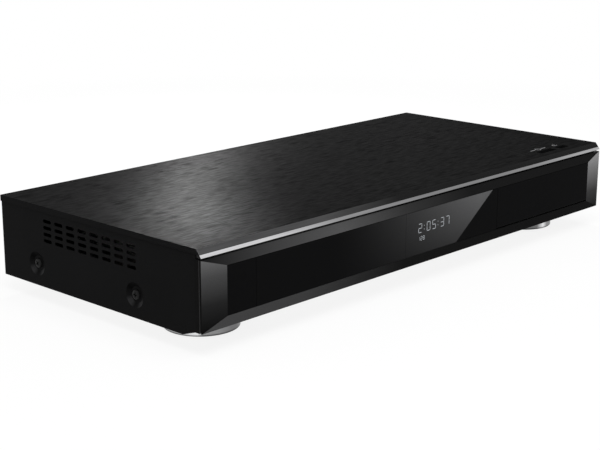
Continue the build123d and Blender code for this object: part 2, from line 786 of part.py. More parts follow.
# Disc drive: chassis with the rails of the tray, posts for the gears, ears for the traverse
# and an opening in the floor under it.
drive_front = bezel_rear + running_gap
drive_rear = drive_front + drive_depth
drive_half = drive_width / 2
drive_inner = drive_half - drive_wall
drive_lift = 0.9
drive_floor_sheet = 2.0
drive_headroom = 8.2
drive_lip_gap = 1.5
drive_floor = (pan_floor + drive_lift, pan_floor + drive_lift + drive_floor_sheet)
drive_wall_top = tray_top + drive_headroom
drive_lip = tray_bottom - rack_drop - drive_lip_gap
rail_reach = 3.3
rail_height = 2.5
flange_lift = 2.0
flange_sheet = 2.0
flange_bottom = tray_bottom + flange_lift
clip_shares = (0.15, 0.5, 0.85)
clip_places = [drive_front + drive_depth * share for share in clip_shares]
clip_length = 14.0
clip_height = 1.5
spindle_y = panel_face + panel_thickness + spindle_setback
bridge_lift = 4.5
bridge_bottom = tray_top + bridge_lift
bridge_width = 24.0
bridge_ledge = 5.0
bridge_ledge_height = 2.5
base_half = 43.0
base_reach = 22.5  # in front of the spindle
base_rear_margin = 8.0
base_drop = 2.4
sled_gaps = (0.4, 1.4)  # round the sled at its limits
window_y = (spindle_y + sled_start - sled_gaps[0],
            spindle_y + sled_start + sled_length + sled_travel + sled_gaps[1])
base_front = spindle_y - base_reach
base_rear = window_y[1] + base_rear_margin
base_top = tray_bottom - base_drop
base_sheet = 1.6
base_skirt = 5.0
base_skirt_wall = 1.5
pivot_inset = 4.0
pivot_drop = 4.6
pivot_y = base_rear - pivot_inset
pivot_z = base_top - pivot_drop
pivot_radius = 2.0
ear_gap = 1.6
ear_wall = 3.0
ear_half = 4.0
floor_opening_margins = (0.9, 4.0)
floor_opening_y = (base_front - floor_opening_margins[0], base_rear + floor_opening_margins[1])
gear_setback = 20.4
gear_y = drive_front + gear_setback
pinion_pitch = rack_module * pinion_teeth / 2
wheel_pitch = train_module * wheel_teeth / 2
small_pitch = train_module * small_teeth / 2
rack_offset = 55.0  # pitch line of the rack, left of the middle of the drive
rack_pitch_x = drive_offset - rack_offset
pinion_place = (rack_pitch_x + pinion_pitch, gear_y)
pulley_place = (pinion_place[0] + wheel_pitch + small_pitch, gear_y)
motor_shift = (9.0, 2.0)
motor_place = (drive_offset + motor_shift[0], gear_y - motor_shift[1])
gear_post_radius = 2.0
gear_post_drop = 0.5
gear_post_top = tray_bottom - gear_post_drop
motor_radius = 12.2
motor_height = 11.8
motor_shaft_radius = 1.0
chassis_foot_radius = 4.0
chassis_foot_inset = 9.0
chassis_foot_setback = 22.0
toe_depth = 5.6
toe_height = 3.0
slider_gap = 1.4
slider_sheet = 1.6
slider_y = (base_front - slider_gap - slider_sheet, base_front - slider_gap)
slider_rib = 2.1
slider_rib_height = 4.5
slider_rib_half = 22.0

with BuildPart() as drive_chassis:
    block(about(drive_offset, drive_width), (drive_front, drive_rear),
          (drive_floor[0], drive_wall_top))
    block(about(drive_offset, 2 * drive_inner), (drive_front + drive_wall, drive_rear - drive_wall),
          (drive_floor[1], drive_wall_top + overrun), Mode.SUBTRACT)
    block(about(drive_offset, 2 * drive_inner), (drive_front - overrun, drive_front + overrun),
          (drive_lip, drive_wall_top + overrun), Mode.SUBTRACT)
    block(about(drive_offset, 2 * (base_half + ear_gap)), floor_opening_y,
          (drive_floor[0] - overrun, drive_floor[1] + overrun), Mode.SUBTRACT)
    for side in (-1, 1):
        rail = sorted((drive_offset + side * drive_inner,
                       drive_offset + side * (drive_inner - rail_reach)))
        rail_top = flange_bottom - running_gap
        block(rail, (drive_front, drive_rear), (rail_top - rail_height, rail_top))
        clip_bottom = flange_bottom + flange_sheet + running_gap
        for clip_y in clip_places:
            block(rail, about(clip_y, clip_length), (clip_bottom, clip_bottom + clip_height))
        ledge = sorted((drive_offset + side * drive_inner,
                        drive_offset + side * (drive_inner - bridge_ledge)))
        block(ledge, about(spindle_y, bridge_width),
              (bridge_bottom - bridge_ledge_height, bridge_bottom))
        ear_inner = base_half + ear_gap
        ear = sorted((drive_offset + side * ear_inner,
                      drive_offset + side * (ear_inner + ear_wall)))
        block(ear, about(pivot_y, 2 * ear_half), (drive_floor[0], pivot_z))
        crosswise((pivot_y, pivot_z), ear, ear_half)
        crosswise((pivot_y, pivot_z), about(sum(ear) / 2, 2 * ear_wall),
                  pivot_radius + bearing_gap, Mode.SUBTRACT)
    for place in (pinion_place, pulley_place):
        upright(place, (drive_floor[0], gear_post_top), gear_post_radius)
    block(about(drive_offset, 2 * slider_rib_half),
          (slider_y[0] - running_gap - slider_rib, slider_y[0] - running_gap),
          (drive_floor[1], drive_floor[1] + slider_rib_height))
    for foot_x_place in about(drive_offset, drive_width - 2 * chassis_foot_inset):
        for foot_y_place in (drive_front + chassis_foot_setback, drive_rear - chassis_foot_inset):
            upright((foot_x_place, foot_y_place), (pan_floor, drive_floor[0]), chassis_foot_radius)
    block(about(drive_offset, 2 * drive_inner), (drive_front, drive_front + toe_depth),
          (drive_floor[0], drive_floor[1] + toe_height))
    with BuildSketch(Plane.YZ):
        with BuildLine():
            Polyline(
                (bezel_rear, bezel_bottom + pan_sheet + running_gap),
                (nose_end, pan_floor + running_gap),
                (nose_end, 0),
                (bezel_rear, 0),
                close=True,
            )
        make_face()
    extrude(amount=case_width, both=True, mode=Mode.SUBTRACT)
drive_chassis.part.label = "drive_chassis"
export_step(drive_chassis.part, "parts/drive_chassis.step")

cover_flange = 16.0

with BuildPart() as drive_cover:
    block(about(drive_offset, drive_width + 2 * steel_sheet), (drive_front, drive_rear),
          (drive_wall_top - cover_flange, drive_wall_top + steel_sheet))
    block(about(drive_offset, drive_width), (drive_front - overrun, drive_rear + overrun),
          (0, drive_wall_top), Mode.SUBTRACT)
drive_cover.part.label = "drive_cover"
export_step(drive_cover.part, "parts/drive_cover.step")

# Disc tray: two round recesses, a slot from the spindle to the rear, flanges that run in the
# rails of the chassis, a hollow underside and the rack along its left.
tray_front = panel_face + panel_thickness
tray_rear = tray_front + tray_travel + tray_hold
tray_body_half = 63.0
tray_wall = 2.5
recess_radius = 61.0
recess_depth = 3.3
small_recess_radius = 41.0
small_recess_depth = 1.4
tray_floor = 1.5
slot_half = 18.0
finger_radius = 12.0
finger_turn = 42.0
tray_edge = 0.6
rack_width = 3.0
rack_pitch = pi * rack_module
first_rack_tooth = gear_y - rack_pitch * (int((gear_y - tray_front) / rack_pitch) - 1 / 2)
rack_teeth = int((tray_rear - first_rack_tooth) / rack_pitch + 1 / 2)
recess_floor = tray_top - recess_depth
small_recess_floor = recess_floor - small_recess_depth
tray_underside = small_recess_floor - tray_floor
spindle = (drive_offset, spindle_y)


def rack_points():
    """The outline of the rack, seen from above, with a gap of its teeth facing the pinion."""
    slope = tan(radians(pressure_angle))
    tip = rack_module * tip_share
    root = rack_module * root_share
    half_tooth = (rack_pitch / 2 - tooth_play) / 2
    points = [
        (rack_pitch_x - rack_width, tray_front + tray_wall),
        (rack_pitch_x - root, tray_front + tray_wall),
    ]
    for tooth in range(rack_teeth):
        middle = first_rack_tooth + tooth * rack_pitch
        points.append((rack_pitch_x - root, middle - half_tooth - root * slope))
        points.append((rack_pitch_x + tip, middle - half_tooth + tip * slope))
        points.append((rack_pitch_x + tip, middle + half_tooth - tip * slope))
        points.append((rack_pitch_x - root, middle + half_tooth + root * slope))
    points.append((rack_pitch_x - root, tray_rear))
    points.append((rack_pitch_x - rack_width, tray_rear))
    return points


with BuildPart() as disc_tray:
    block(about(drive_offset, 2 * tray_body_half), (tray_front, tray_rear), (tray_bottom, tray_top))
    chamfer(disc_tray.faces().sort_by(Axis.Z)[-1].edges(), length=tray_edge)
    block(about(drive_offset, 2 * tray_half), (tray_front + tray_wall, tray_rear),
          (flange_bottom, flange_bottom + flange_sheet))
    upright(spindle, (recess_floor, tray_top + overrun), recess_radius, Mode.SUBTRACT)
    with BuildSketch(Plane.XY.offset(recess_floor)):
        with Locations(spindle):
            with PolarLocations(recess_radius, 2, -90 - finger_turn, 2 * finger_turn,
                                endpoint=True):
                Circle(finger_radius)
    extrude(amount=recess_depth + overrun, mode=Mode.SUBTRACT)
    upright(spindle, (small_recess_floor, tray_top), small_recess_radius, Mode.SUBTRACT)
    block(about(drive_offset, 2 * (tray_body_half - tray_wall)),
          (tray_front + tray_wall, tray_rear - tray_wall),
          (tray_bottom - overrun, tray_underside), Mode.SUBTRACT)
    with BuildSketch(Plane.XY.offset(tray_bottom - rack_drop)):
        with BuildLine():
            Polyline(*rack_points(), close=True)
        make_face()
    extrude(amount=tray_underside - tray_bottom + rack_drop)
    upright(spindle, about(tray_bottom, 2 * tray_height), slot_half, Mode.SUBTRACT)
    block(about(drive_offset, 2 * slot_half), (spindle_y, tray_rear + overrun),
          about(tray_bottom, 2 * tray_height), Mode.SUBTRACT)
disc_tray.part.label = "disc_tray"
export_step(disc_tray.part, "parts/disc_tray.step")

# Loading gear: a pinion in the rack over a wheel that the pulley gear drives.
gear_foot = drive_floor[1] + running_gap
wheel_lift = 4.5
wheel_level = drive_floor[1] + wheel_lift
wheel_thickness = 2.5
pinion_level = tray_bottom - rack_drop + running_gap
gear_top = tray_bottom - 2 * running_gap
gear_hub_radius = 4.4
small_overlap = 0.8  # how far the small gear stands past each face of the wheel

with BuildPart() as loading_gear:
    upright(pinion_place, (gear_foot, pinion_level), gear_hub_radius)
    with BuildSketch(Plane.XY.offset(wheel_level)):
        with BuildLine():
            Polyline(*gear_points(train_module, wheel_teeth, 0, pinion_place), close=True)
        make_face()
    extrude(amount=wheel_thickness)
    with BuildSketch(Plane.XY.offset(pinion_level)):
        with BuildLine():
            Polyline(*gear_points(rack_module, pinion_teeth, pi, pinion_place), close=True)
        make_face()
    extrude(amount=gear_top - pinion_level)
    upright(pinion_place, (0, case_height), gear_post_radius + bearing_gap, Mode.SUBTRACT)
loading_gear.part.label = "loading_gear"
export_step(loading_gear.part, "parts/loading_gear.step")

# Pulley gear: a small gear in the wheel, under a pulley with two rims.
pulley_rim = 0.8
pulley_sheet = 0.7
pulley_drop = 4.4
pulley_level = tray_bottom - pulley_drop

with BuildPart() as pulley_gear:
    upright(pulley_place, (gear_foot, pulley_level), gear_hub_radius - pulley_sheet)
    with BuildSketch(Plane.XY.offset(wheel_level - small_overlap)):
        with BuildLine():
            Polyline(*gear_points(train_module, small_teeth, pi + pi / small_teeth, pulley_place),
                     close=True)
        make_face()
    extrude(amount=wheel_thickness + 2 * small_overlap)
    upright(pulley_place, (pulley_level, gear_top), pulley_radius)
    upright(pulley_place, (pulley_level, pulley_level + pulley_sheet), pulley_radius + pulley_rim)
    upright(pulley_place, (gear_top - pulley_sheet, gear_top), pulley_radius + pulley_rim)
    upright(pulley_place, (0, case_height), gear_post_radius + bearing_gap, Mode.SUBTRACT)
pulley_gear.part.label = "pulley_gear"
export_step(pulley_gear.part, "parts/pulley_gear.step")

with BuildPart() as motor_pulley:
    upright(motor_place, (pulley_level, gear_top), motor_pulley_radius)
    upright(motor_place, (pulley_level, pulley_level + pulley_sheet),
            motor_pulley_radius + pulley_rim)
    upright(motor_place, (gear_top - pulley_sheet, gear_top), motor_pulley_radius + pulley_rim)
    upright(motor_place, (0, case_height), motor_shaft_radius + bearing_gap, Mode.SUBTRACT)
motor_pulley.part.label = "motor_pulley"
export_step(motor_pulley.part, "parts/motor_pulley.step")

# Belt: a rubber loop round both pulleys, between their rims.
belt_thickness = 1.0
belt_span = (pulley_level + pulley_sheet + running_gap, gear_top - pulley_sheet - running_gap)

with BuildPart() as loading_belt:
    with BuildSketch(Plane.XY.offset(belt_span[0])):
        with Locations(pulley_place):
            Circle(pulley_radius + running_gap + belt_thickness)
        with Locations(motor_place):
            Circle(motor_pulley_radius + running_gap + belt_thickness)
        make_hull()
    extrude(amount=belt_span[1] - belt_span[0])
    with BuildSketch(Plane.XY.offset(belt_span[0] - overrun)):
        with Locations(pulley_place):
            Circle(pulley_radius + running_gap)
        with Locations(motor_place):
            Circle(motor_pulley_radius + running_gap)
        make_hull()
    extrude(amount=3 * overrun, mode=Mode.SUBTRACT)
loading_belt.part.label = "loading_belt"
export_step(loading_belt.part, "parts/loading_belt.step")

with BuildPart() as loading_motor:
    upright(motor_place, (drive_floor[1], drive_floor[1] + motor_height), motor_radius)
    fillet(loading_motor.edges().filter_by(GeomType.CIRCLE).sort_by(Axis.Z)[-1], radius=tray_edge)
    upright(motor_place, (drive_floor[1], gear_top), motor_shaft_radius)
loading_motor.part.label = "loading_motor"
export_step(loading_motor.part, "parts/loading_motor.step")

# Cam slider: a plate whose slanted slot lowers the front of the traverse as it slides.
slider_travel = 14.0
slider_z = (drive_floor[1] + running_gap, base_top)
slider_wall = 5.0
cam_pin_radius = 1.2
cam_pin_below = 3.2
cam_pin_z = base_top - cam_pin_below
cam_pin_drop = (pivot_y - slider_y[0]) * sin(radians(traverse_drop))

with BuildPart() as cam_slider:
    with BuildSketch(from_front(slider_y[0])):
        with Locations((drive_offset - slider_travel / 2, sum(slider_z) / 2)):
            Rectangle(slider_travel + 2 * slider_wall, slider_z[1] - slider_z[0])
        with Locations((drive_offset - slider_travel / 2, cam_pin_z - cam_pin_drop / 2)):
            SlotCenterToCenter(hypot(slider_travel, cam_pin_drop),
                               2 * (cam_pin_radius + running_gap),
                               rotation=degrees(atan2(cam_pin_drop, slider_travel)),
                               mode=Mode.SUBTRACT)
    extrude(amount=slider_y[0] - slider_y[1])
cam_slider.part.label = "cam_slider"
export_step(cam_slider.part, "parts/cam_slider.step")

# Traverse base: a skirted plate on two rear pins, open for the sled, with lugs for the rods.
window_half = 31.0
rod_offset = 29.0
rod_drop = 5.1
rod_z = base_top - rod_drop
rod_radius = 1.5
lug_thickness = 3.4
front_lug_gap = 4.2
lug_starts = (window_y[0] - front_lug_gap, window_y[1])
lug_y = [(start, start + lug_thickness) for start in lug_starts]
lug_half = 3.0
screw_offset = 36.0
spindle_radius = 11.5
spindle_depth = 10.0
spindle_bottom = base_top - spindle_depth
spindle_shaft_radius = 1.0
spindle_shaft_rise = 7.6
spindle_shaft_top = tray_bottom + spindle_shaft_rise
spindle_seat = 4.5
sled_motor_radius = 3.3
sled_motor_reach = (8.0, 14.0)
sled_motor_y = (spindle_y - sled_motor_reach[0], spindle_y + sled_motor_reach[1])

with BuildPart() as traverse_base:
    block(about(drive_offset, 2 * base_half), (base_front, base_rear),
          (base_top - base_skirt, base_top))
    block(about(drive_offset, 2 * (base_half - base_skirt_wall)),
          (base_front + base_skirt_wall, base_rear - base_skirt_wall),
          (base_top - base_skirt - overrun, base_top - base_sheet), Mode.SUBTRACT)
    block(about(drive_offset, 2 * window_half), window_y, (0, case_height), Mode.SUBTRACT)
    upright(spindle, (0, case_height), spindle_seat, Mode.SUBTRACT)
    for side in (-1, 1):
        for lug in lug_y:
            block(about(drive_offset + side * rod_offset, 2 * lug_half), lug,
                  (rod_z - lug_half, base_top - base_sheet))
        lengthwise((drive_offset + side * rod_offset, rod_z), (base_front, base_rear), rod_radius,
                   Mode.SUBTRACT)
    block(about(drive_offset + screw_offset, 2 * lug_half), lug_y[1],
          (rod_z - lug_half, base_top - base_sheet))
    lengthwise((drive_offset + screw_offset, rod_z),
               (lug_y[1][0] - running_gap, lug_y[1][1] + running_gap),
               rod_radius + bearing_gap, Mode.SUBTRACT)
    for side in (-1, 1):
        pin = sorted((drive_offset + side * (base_half - base_skirt_wall),
                      drive_offset + side * (base_half + ear_gap + ear_wall)))
        block(sorted((drive_offset + side * (base_half - base_skirt_wall),
                      drive_offset + side * base_half)),
              about(pivot_y, 2 * ear_half), (pivot_z - pivot_radius, base_top))
        crosswise((pivot_y, pivot_z), pin, pivot_radius)
    lengthwise((drive_offset, cam_pin_z), (slider_y[0] - running_gap, base_front + base_skirt_wall),
               cam_pin_radius)
traverse_base.part.label = "traverse_base"
export_step(traverse_base.part, "parts/traverse_base.step")

with BuildPart() as guide_rods:
    for side in (-1, 1):
        lengthwise((drive_offset + side * rod_offset, rod_z), (lug_y[0][0], lug_y[1][1]), rod_radius)
guide_rods.part.label = "guide_rods"
export_step(guide_rods.part, "parts/guide_rods.step")

with BuildPart() as spindle_motor:
    upright(spindle, (spindle_bottom, base_top - base_sheet), spindle_radius)
    fillet(spindle_motor.edges().filter_by(GeomType.CIRCLE).sort_by(Axis.Z)[0], radius=tray_edge)
    upright(spindle, (base_top - base_sheet, base_top), spindle_seat - running_gap)
    upright(spindle, (spindle_bottom, spindle_shaft_top), spindle_shaft_radius)
spindle_motor.part.label = "spindle_motor"
export_step(spindle_motor.part, "parts/spindle_motor.step")

# Turntable: a flange that carries the disc, with a cone that centres it.
disc_rise = 1.0
disc_level = recess_floor + disc_rise
table_radius = 14.0
table_thickness = 1.5
table_hub_radius = 5.0
cone_height = 2.4
cone_radii = (7.3, 5.6)
table_foot = base_top + running_gap

with BuildPart() as turntable:
    with BuildSketch(Plane(origin=(*spindle, 0), x_dir=(1, 0, 0), z_dir=(0, -1, 0))):
        with BuildLine():
            Polyline(
                (spindle_shaft_radius + bearing_gap, table_foot),
                (table_hub_radius, table_foot),
                (table_hub_radius, disc_level - table_thickness),
                (table_radius, disc_level - table_thickness),
                (table_radius, disc_level),
                (cone_radii[0], disc_level),
                (cone_radii[1], disc_level + cone_height),
                (spindle_shaft_radius + bearing_gap, disc_level + cone_height),
                close=True,
            )
        make_face()
    revolve(axis=Axis((*spindle, 0), (0, 0, 1)))
turntable.part.label = "turntable"
export_step(turntable.part, "parts/turntable.step")

# Laser sled: a body on two rods, with an arm to the lead screw and a mount for the lens.
lens_setback = 24.0
sled_half = 24.0
sled_y = (spindle_y + sled_start, spindle_y + sled_start + sled_length)
sled_drop = 3.4
sled_rise = 0.8
sled_top = base_top + sled_rise
sleeve_radius = 2.9
lens_mount_half = 7.5
lens_mount_rise = 5.0
lens_mount_top = base_top + lens_mount_rise
lens_radius = 3.6
lens_height = 1.6
lens_y = spindle_y + lens_setback
arm_half = 4.0
sled_z = (rod_z - sled_drop, sled_top)

with BuildPart() as laser_sled:
    with BuildSketch(Plane.XY.offset(sled_z[0])):
        with Locations((drive_offset, sum(sled_y) / 2)):
            Rectangle(2 * sled_half, sled_y[1] - sled_y[0])
        chamfer(vertices(), length=arm_half)
    extrude(amount=sled_z[1] - sled_z[0])
    for side in (-1, 1):
        lengthwise((drive_offset + side * rod_offset, rod_z), sled_y, sleeve_radius)
        block(sorted((drive_offset + side * (sled_half - arm_half),
                      drive_offset + side * rod_offset)),
              sled_y, about(rod_z, 2 * rod_radius))
        lengthwise((drive_offset + side * rod_offset, rod_z), about(0, case_depth),
                   rod_radius + bearing_gap, Mode.SUBTRACT)
    arm_y = about(sum(sled_y) / 2, 2 * arm_half)
    block((drive_offset + rod_offset + rod_radius + bearing_gap, drive_offset + screw_offset),
          arm_y, about(rod_z, 2 * rod_radius))
    lengthwise((drive_offset + screw_offset, rod_z), arm_y, sleeve_radius)
    lengthwise((drive_offset + screw_offset, rod_z), about(0, case_depth),
               rod_radius + bearing_gap, Mode.SUBTRACT)
    block(about(drive_offset, 2 * lens_mount_half), about(lens_y, 2 * lens_mount_half),
          (sled_z[1], lens_mount_top))
    upright((drive_offset, lens_y), about(lens_mount_top, lens_height), lens_radius, Mode.SUBTRACT)
laser_sled.part.label = "laser_sled"
export_step(laser_sled.part, "parts/laser_sled.step")

with BuildPart() as lens:
    upright((drive_offset, lens_y),
            (lens_mount_top - lens_height / 2, lens_mount_top + lens_height / 2), lens_radius)
    fillet(lens.edges().filter_by(GeomType.CIRCLE).sort_by(Axis.Z)[-1], radius=lens_height / 2)
lens.part.label = "lens"
export_step(lens.part, "parts/lens.step")

with BuildPart() as lead_screw:
    lengthwise((drive_offset + screw_offset, rod_z), (sled_motor_y[1] + running_gap, lug_y[1][1]),
               rod_radius)
lead_screw.part.label = "lead_screw"
export_step(lead_screw.part, "parts/lead_screw.step")

with BuildPart() as sled_motor:
    lengthwise((drive_offset + screw_offset, rod_z), sled_motor_y, sled_motor_radius)
    block(about(drive_offset + screw_offset, 2 * sled_motor_radius), about(sum(sled_motor_y) / 2,
          2 * sled_motor_radius), (rod_z, base_top - base_sheet))
sled_motor.part.label = "sled_motor"
export_step(sled_motor.part, "parts/sled_motor.step")

# Clamper: a puck held in the bridge, which presses the disc down on the turntable.
clamp_gap = 1.3
clamp_pad_thickness = 2.6
clamp_neck_radius = 9.7
clamp_rim_radius = 13.0
clamp_rim_height = 1.2
clamp_recess_radius = 8.3
bridge_thickness = 1.2
bridge_hole_radius = 10.6
clamp_lift = 0.6
clamp_bottom = disc_level + clamp_gap
clamp_rim_bottom = bridge_bottom + bridge_thickness + clamp_lift

with BuildPart() as clamper_bridge:
    block(about(drive_offset, 2 * drive_inner), about(spindle_y, bridge_width),
          (bridge_bottom, bridge_bottom + bridge_thickness))
    upright(spindle, about(bridge_bottom, 2 * overrun), bridge_hole_radius, Mode.SUBTRACT)
clamper_bridge.part.label = "clamper_bridge"
export_step(clamper_bridge.part, "parts/clamper_bridge.step")

with BuildPart() as clamper:
    upright(spindle, (clamp_bottom, clamp_bottom + clamp_pad_thickness), table_radius)
    upright(spindle, (clamp_bottom + clamp_pad_thickness, clamp_rim_bottom), clamp_neck_radius)
    upright(spindle, (clamp_rim_bottom, clamp_rim_bottom + clamp_rim_height), clamp_rim_radius)
    upright(spindle, (clamp_bottom, clamp_bottom + clamp_pad_thickness), clamp_recess_radius,
            Mode.SUBTRACT)
clamper.part.label = "clamper"
export_step(clamper.part, "parts/clamper.step")

# Hard disc in its bracket, on four posts of the pan.
disc_level_z = pan_floor + disc_post_height
bracket_height = 18.0
bracket_side = 1.0
disc_height = 26.1
disc_lid_inset = 3.0
disc_lid_height = 3.2
disc_corner = 3.0

with BuildPart() as disc_bracket:
    block((hard_disc_x[0] - bracket_side, hard_disc_x[1] + bracket_side),
          (hard_disc_y[0] + post_inset, hard_disc_y[1] - post_inset),
          (disc_level_z, disc_level_z + bracket_height))
    block(hard_disc_x, (hard_disc_y[0] - overrun, hard_disc_y[1] + overrun),
          (disc_level_z + bracket_side, disc_level_z + bracket_height + overrun), Mode.SUBTRACT)
disc_bracket.part.label = "disc_bracket"
export_step(disc_bracket.part, "parts/disc_bracket.step")

with BuildPart() as hard_drive:
    disc_base = disc_level_z + bracket_side
    block(hard_disc_x, hard_disc_y, (disc_base, disc_base + disc_height - disc_lid_height))
    fillet(hard_drive.edges().filter_by(Axis.Z), radius=disc_corner)
    lid_x = (hard_disc_x[0] + disc_lid_inset, hard_disc_x[1] - disc_lid_inset)
    lid_y = (hard_disc_y[0] + disc_lid_inset, hard_disc_y[1] - disc_lid_inset)
    block(lid_x, lid_y, (disc_base + disc_height - disc_lid_height, disc_base + disc_height))
    chamfer(hard_drive.faces().sort_by(Axis.Z)[-1].edges(), length=disc_lid_height / 2)
    hub = (sum(lid_x) / 2, lid_y[1] - (lid_x[1] - lid_x[0]) / 2)
    upright(hub, about(disc_base + disc_height, bracket_side), 2 * disc_lid_height, Mode.SUBTRACT)
hard_drive.part.label = "hard_drive"
export_step(hard_drive.part, "parts/hard_drive.step")

# Main board with the heat sink of its processor, and the sockets along its rear edge.
chip_size = 32.0
chip_height = 2.4
chip_insets = (38.0, 50.0)
chip_place = (main_board_x[0] + chip_insets[0], main_board_y[0] + chip_insets[1])
sink_size = (54.0, 46.0)
sink_base = 3.0
sink_height = 21.0
fin_count = 9
fin_thickness = 1.4
memory_chip_size = (10.0, 14.0)
memory_chip_inset = 79.0
memory_chip_steps = (34.0, 52.0, 70.0)
memory_chip_places = [(main_board_x[0] + memory_chip_inset, main_board_y[0] + step)
                      for step in memory_chip_steps]

with BuildPart() as main_board:
    block(main_board_x, main_board_y, (board_level, socket_floor))
    for place in corners(main_board_x, main_board_y, post_inset):
        upright(place, about(board_level, 2 * overrun), post_radius / 2, Mode.SUBTRACT)
    with Locations((*chip_place, socket_floor + chip_height / 2)):
        Box(chip_size, chip_size, chip_height)
    with Locations(*((*place, socket_floor + chip_height / 4) for place in memory_chip_places)):
        Box(*memory_chip_size, chip_height / 2)
main_board.part.label = "main_board"
export_step(main_board.part, "parts/main_board.step")

with BuildPart() as heat_sink:
    sink_bottom = socket_floor + chip_height
    with Locations((*chip_place, sink_bottom + sink_base / 2)):
        Box(*sink_size, sink_base)
    with Locations((*chip_place, sink_bottom + sink_height / 2)):
        with GridLocations((sink_size[0] - fin_thickness) / (fin_count - 1), 0, fin_count, 1):
            Box(fin_thickness, sink_size[1], sink_height)
heat_sink.part.label = "heat_sink"
export_step(heat_sink.part, "parts/heat_sink.step")

tuner_depth = 62.0
tuner_front = pan_rear - tuner_depth
barrel_wall = 1.0

with BuildPart() as tuner:
    block(tuner_x, (tuner_front, pan_rear), (socket_floor, tuner_top))
    for height in aerial_heights:
        lengthwise((aerial_x, height), (tuner_front, rear_face + aerial_shoulder),
                   aerial_shoulder_radius)
        lengthwise((aerial_x, height), (tuner_front, rear_face + socket_reach), aerial_radius)
        lengthwise((aerial_x, height), (rear_face, rear_face + socket_reach + overrun),
                   aerial_radius - barrel_wall, Mode.SUBTRACT)
        lengthwise((aerial_x, height), (rear_face - barrel_wall, rear_face + socket_reach / 2),
                   barrel_wall)
tuner.part.label = "tuner"
export_step(tuner.part, "parts/tuner.step")


def board_socket(middle, size, depth, mouth_size, mouth_depth):
    """A socket on the main board with its mouth in the rear panel."""
    face = rear_face + socket_proud
    level = socket_floor + size[1] / 2
    block(about(middle, size[0]), (face - depth, face), (socket_floor, socket_floor + size[1]))
    block(about(middle, mouth_size[0]), (face - mouth_depth, face + overrun),
          about(level, mouth_size[1]), Mode.SUBTRACT)


video_mouth = (13.9, 4.5)
video_tongue = (11.4, 1.2)
video_depth = 12.0
video_mouth_depth = 8.0
network_mouth = (11.8, 8.6)
network_depth = 20.0
network_mouth_depth = 14.0
optical_mouth = (5.4, 5.4)
optical_depth = 13.0
optical_mouth_depth = 6.0

with BuildPart() as video_sockets:
    for middle in video_middles:
        board_socket(middle, video_size, video_depth, video_mouth, video_mouth_depth)
        block(about(middle, video_tongue[0]),
              (rear_face - video_mouth_depth, rear_face - socket_proud),
              about(socket_floor + video_size[1] / 2, video_tongue[1]))
video_sockets.part.label = "video_sockets"
export_step(video_sockets.part, "parts/video_sockets.step")

with BuildPart() as network_socket:
    board_socket(network_middle, network_size, network_depth, network_mouth, network_mouth_depth)
network_socket.part.label = "network_socket"
export_step(network_socket.part, "parts/network_socket.step")

with BuildPart() as optical_socket:
    board_socket(optical_middle, optical_size, optical_depth, optical_mouth, optical_mouth_depth)
optical_socket.part.label = "optical_socket"
export_step(optical_socket.part, "parts/optical_socket.step")

# Power board with its transformer, capacitors and the mains inlet at its rear end.
power_middle_x = sum(power_board_x) / 2
transformer_inset = 76.0
transformer_y = power_board_y[0] + transformer_inset
transformer_size = (24.0, 26.0, 19.0)
bobbin_size = (18.0, 34.0, 12.0)
main_capacitor = (26.0, 8.5, 28.0)  # inset, radius and height
small_capacitors = [(109.0, 4.0), (122.0, 5.0), (136.0, 4.0)]  # inset and radius
small_capacitor_height = 16.0
capacitor_edge = 0.6
inlet_depth = 16.0
inlet_wall = 1.6
inlet_mouth_depth = 9.0
pin_spacing = 8.6
pin_radius = 1.2
pin_length = 7.0

with BuildPart() as power_board:
    block(power_board_x, power_board_y, (board_level, socket_floor))
    for place in corners(power_board_x, power_board_y, post_inset):
        upright(place, about(board_level, 2 * overrun), post_radius / 2, Mode.SUBTRACT)
power_board.part.label = "power_board"
export_step(power_board.part, "parts/power_board.step")

with BuildPart() as transformer:
    with Locations((power_middle_x, transformer_y, socket_floor + transformer_size[2] / 2)):
        Box(*transformer_size)
        Box(*bobbin_size)
transformer.part.label = "transformer"
export_step(transformer.part, "parts/transformer.step")

with BuildPart() as capacitors:
    upright((power_middle_x, power_board_y[0] + main_capacitor[0]),
            (socket_floor, socket_floor + main_capacitor[2]), main_capacitor[1])
    for inset, radius in small_capacitors:
        upright((power_middle_x, power_board_y[0] + inset),
                (socket_floor, socket_floor + small_capacitor_height), radius)
    fillet(capacitors.edges().filter_by(GeomType.CIRCLE), radius=capacitor_edge)
capacitors.part.label = "capacitors"
export_step(capacitors.part, "parts/capacitors.step")

with BuildPart() as mains_inlet:
    block(about(inlet_middle_x, inlet_size[0]), (rear_face - inlet_depth, rear_face + socket_proud),
          (socket_floor, socket_floor + inlet_size[1]))
    with BuildSketch(from_front(rear_face + overrun)):
        with Locations((inlet_middle_x, inlet_middle_z)):
            SlotOverall(inlet_size[0] - 2 * inlet_wall, inlet_size[1] - 3 * inlet_wall)
    extrude(amount=inlet_mouth_depth + overrun, mode=Mode.SUBTRACT)
    for side in (-1, 1):
        lengthwise((inlet_middle_x + side * pin_spacing / 2, inlet_middle_z),
                   (rear_face - inlet_mouth_depth - inlet_wall,
                    rear_face - inlet_mouth_depth + pin_length), pin_radius)
mains_inlet.part.label = "mains_inlet"
export_step(mains_inlet.part, "parts/mains_inlet.step")

# Fan behind the grille of the rear panel.
fan_depth = 10.0
bore_share = 0.47
hub_share = 0.2375
tip_radius_share = 0.45
chord_share = 0.225
fan_bore = fan_size * bore_share
fan_hub_radius = fan_size * hub_share
fan_spoke = 2.4
fan_spoke_depth = 1.6
fan_corner = 3.0
blade_count = 7
blade_thickness = 0.9
blade_tip = fan_size * tip_radius_share
blade_root = fan_hub_radius - blade_thickness
blade_chord = fan_size * chord_share
blade_pitch = 38.0
fan_back = pan_rear
fan_front = fan_back - fan_depth
fan_stub_radius = 2.5
fan_hub_depth = 7.2

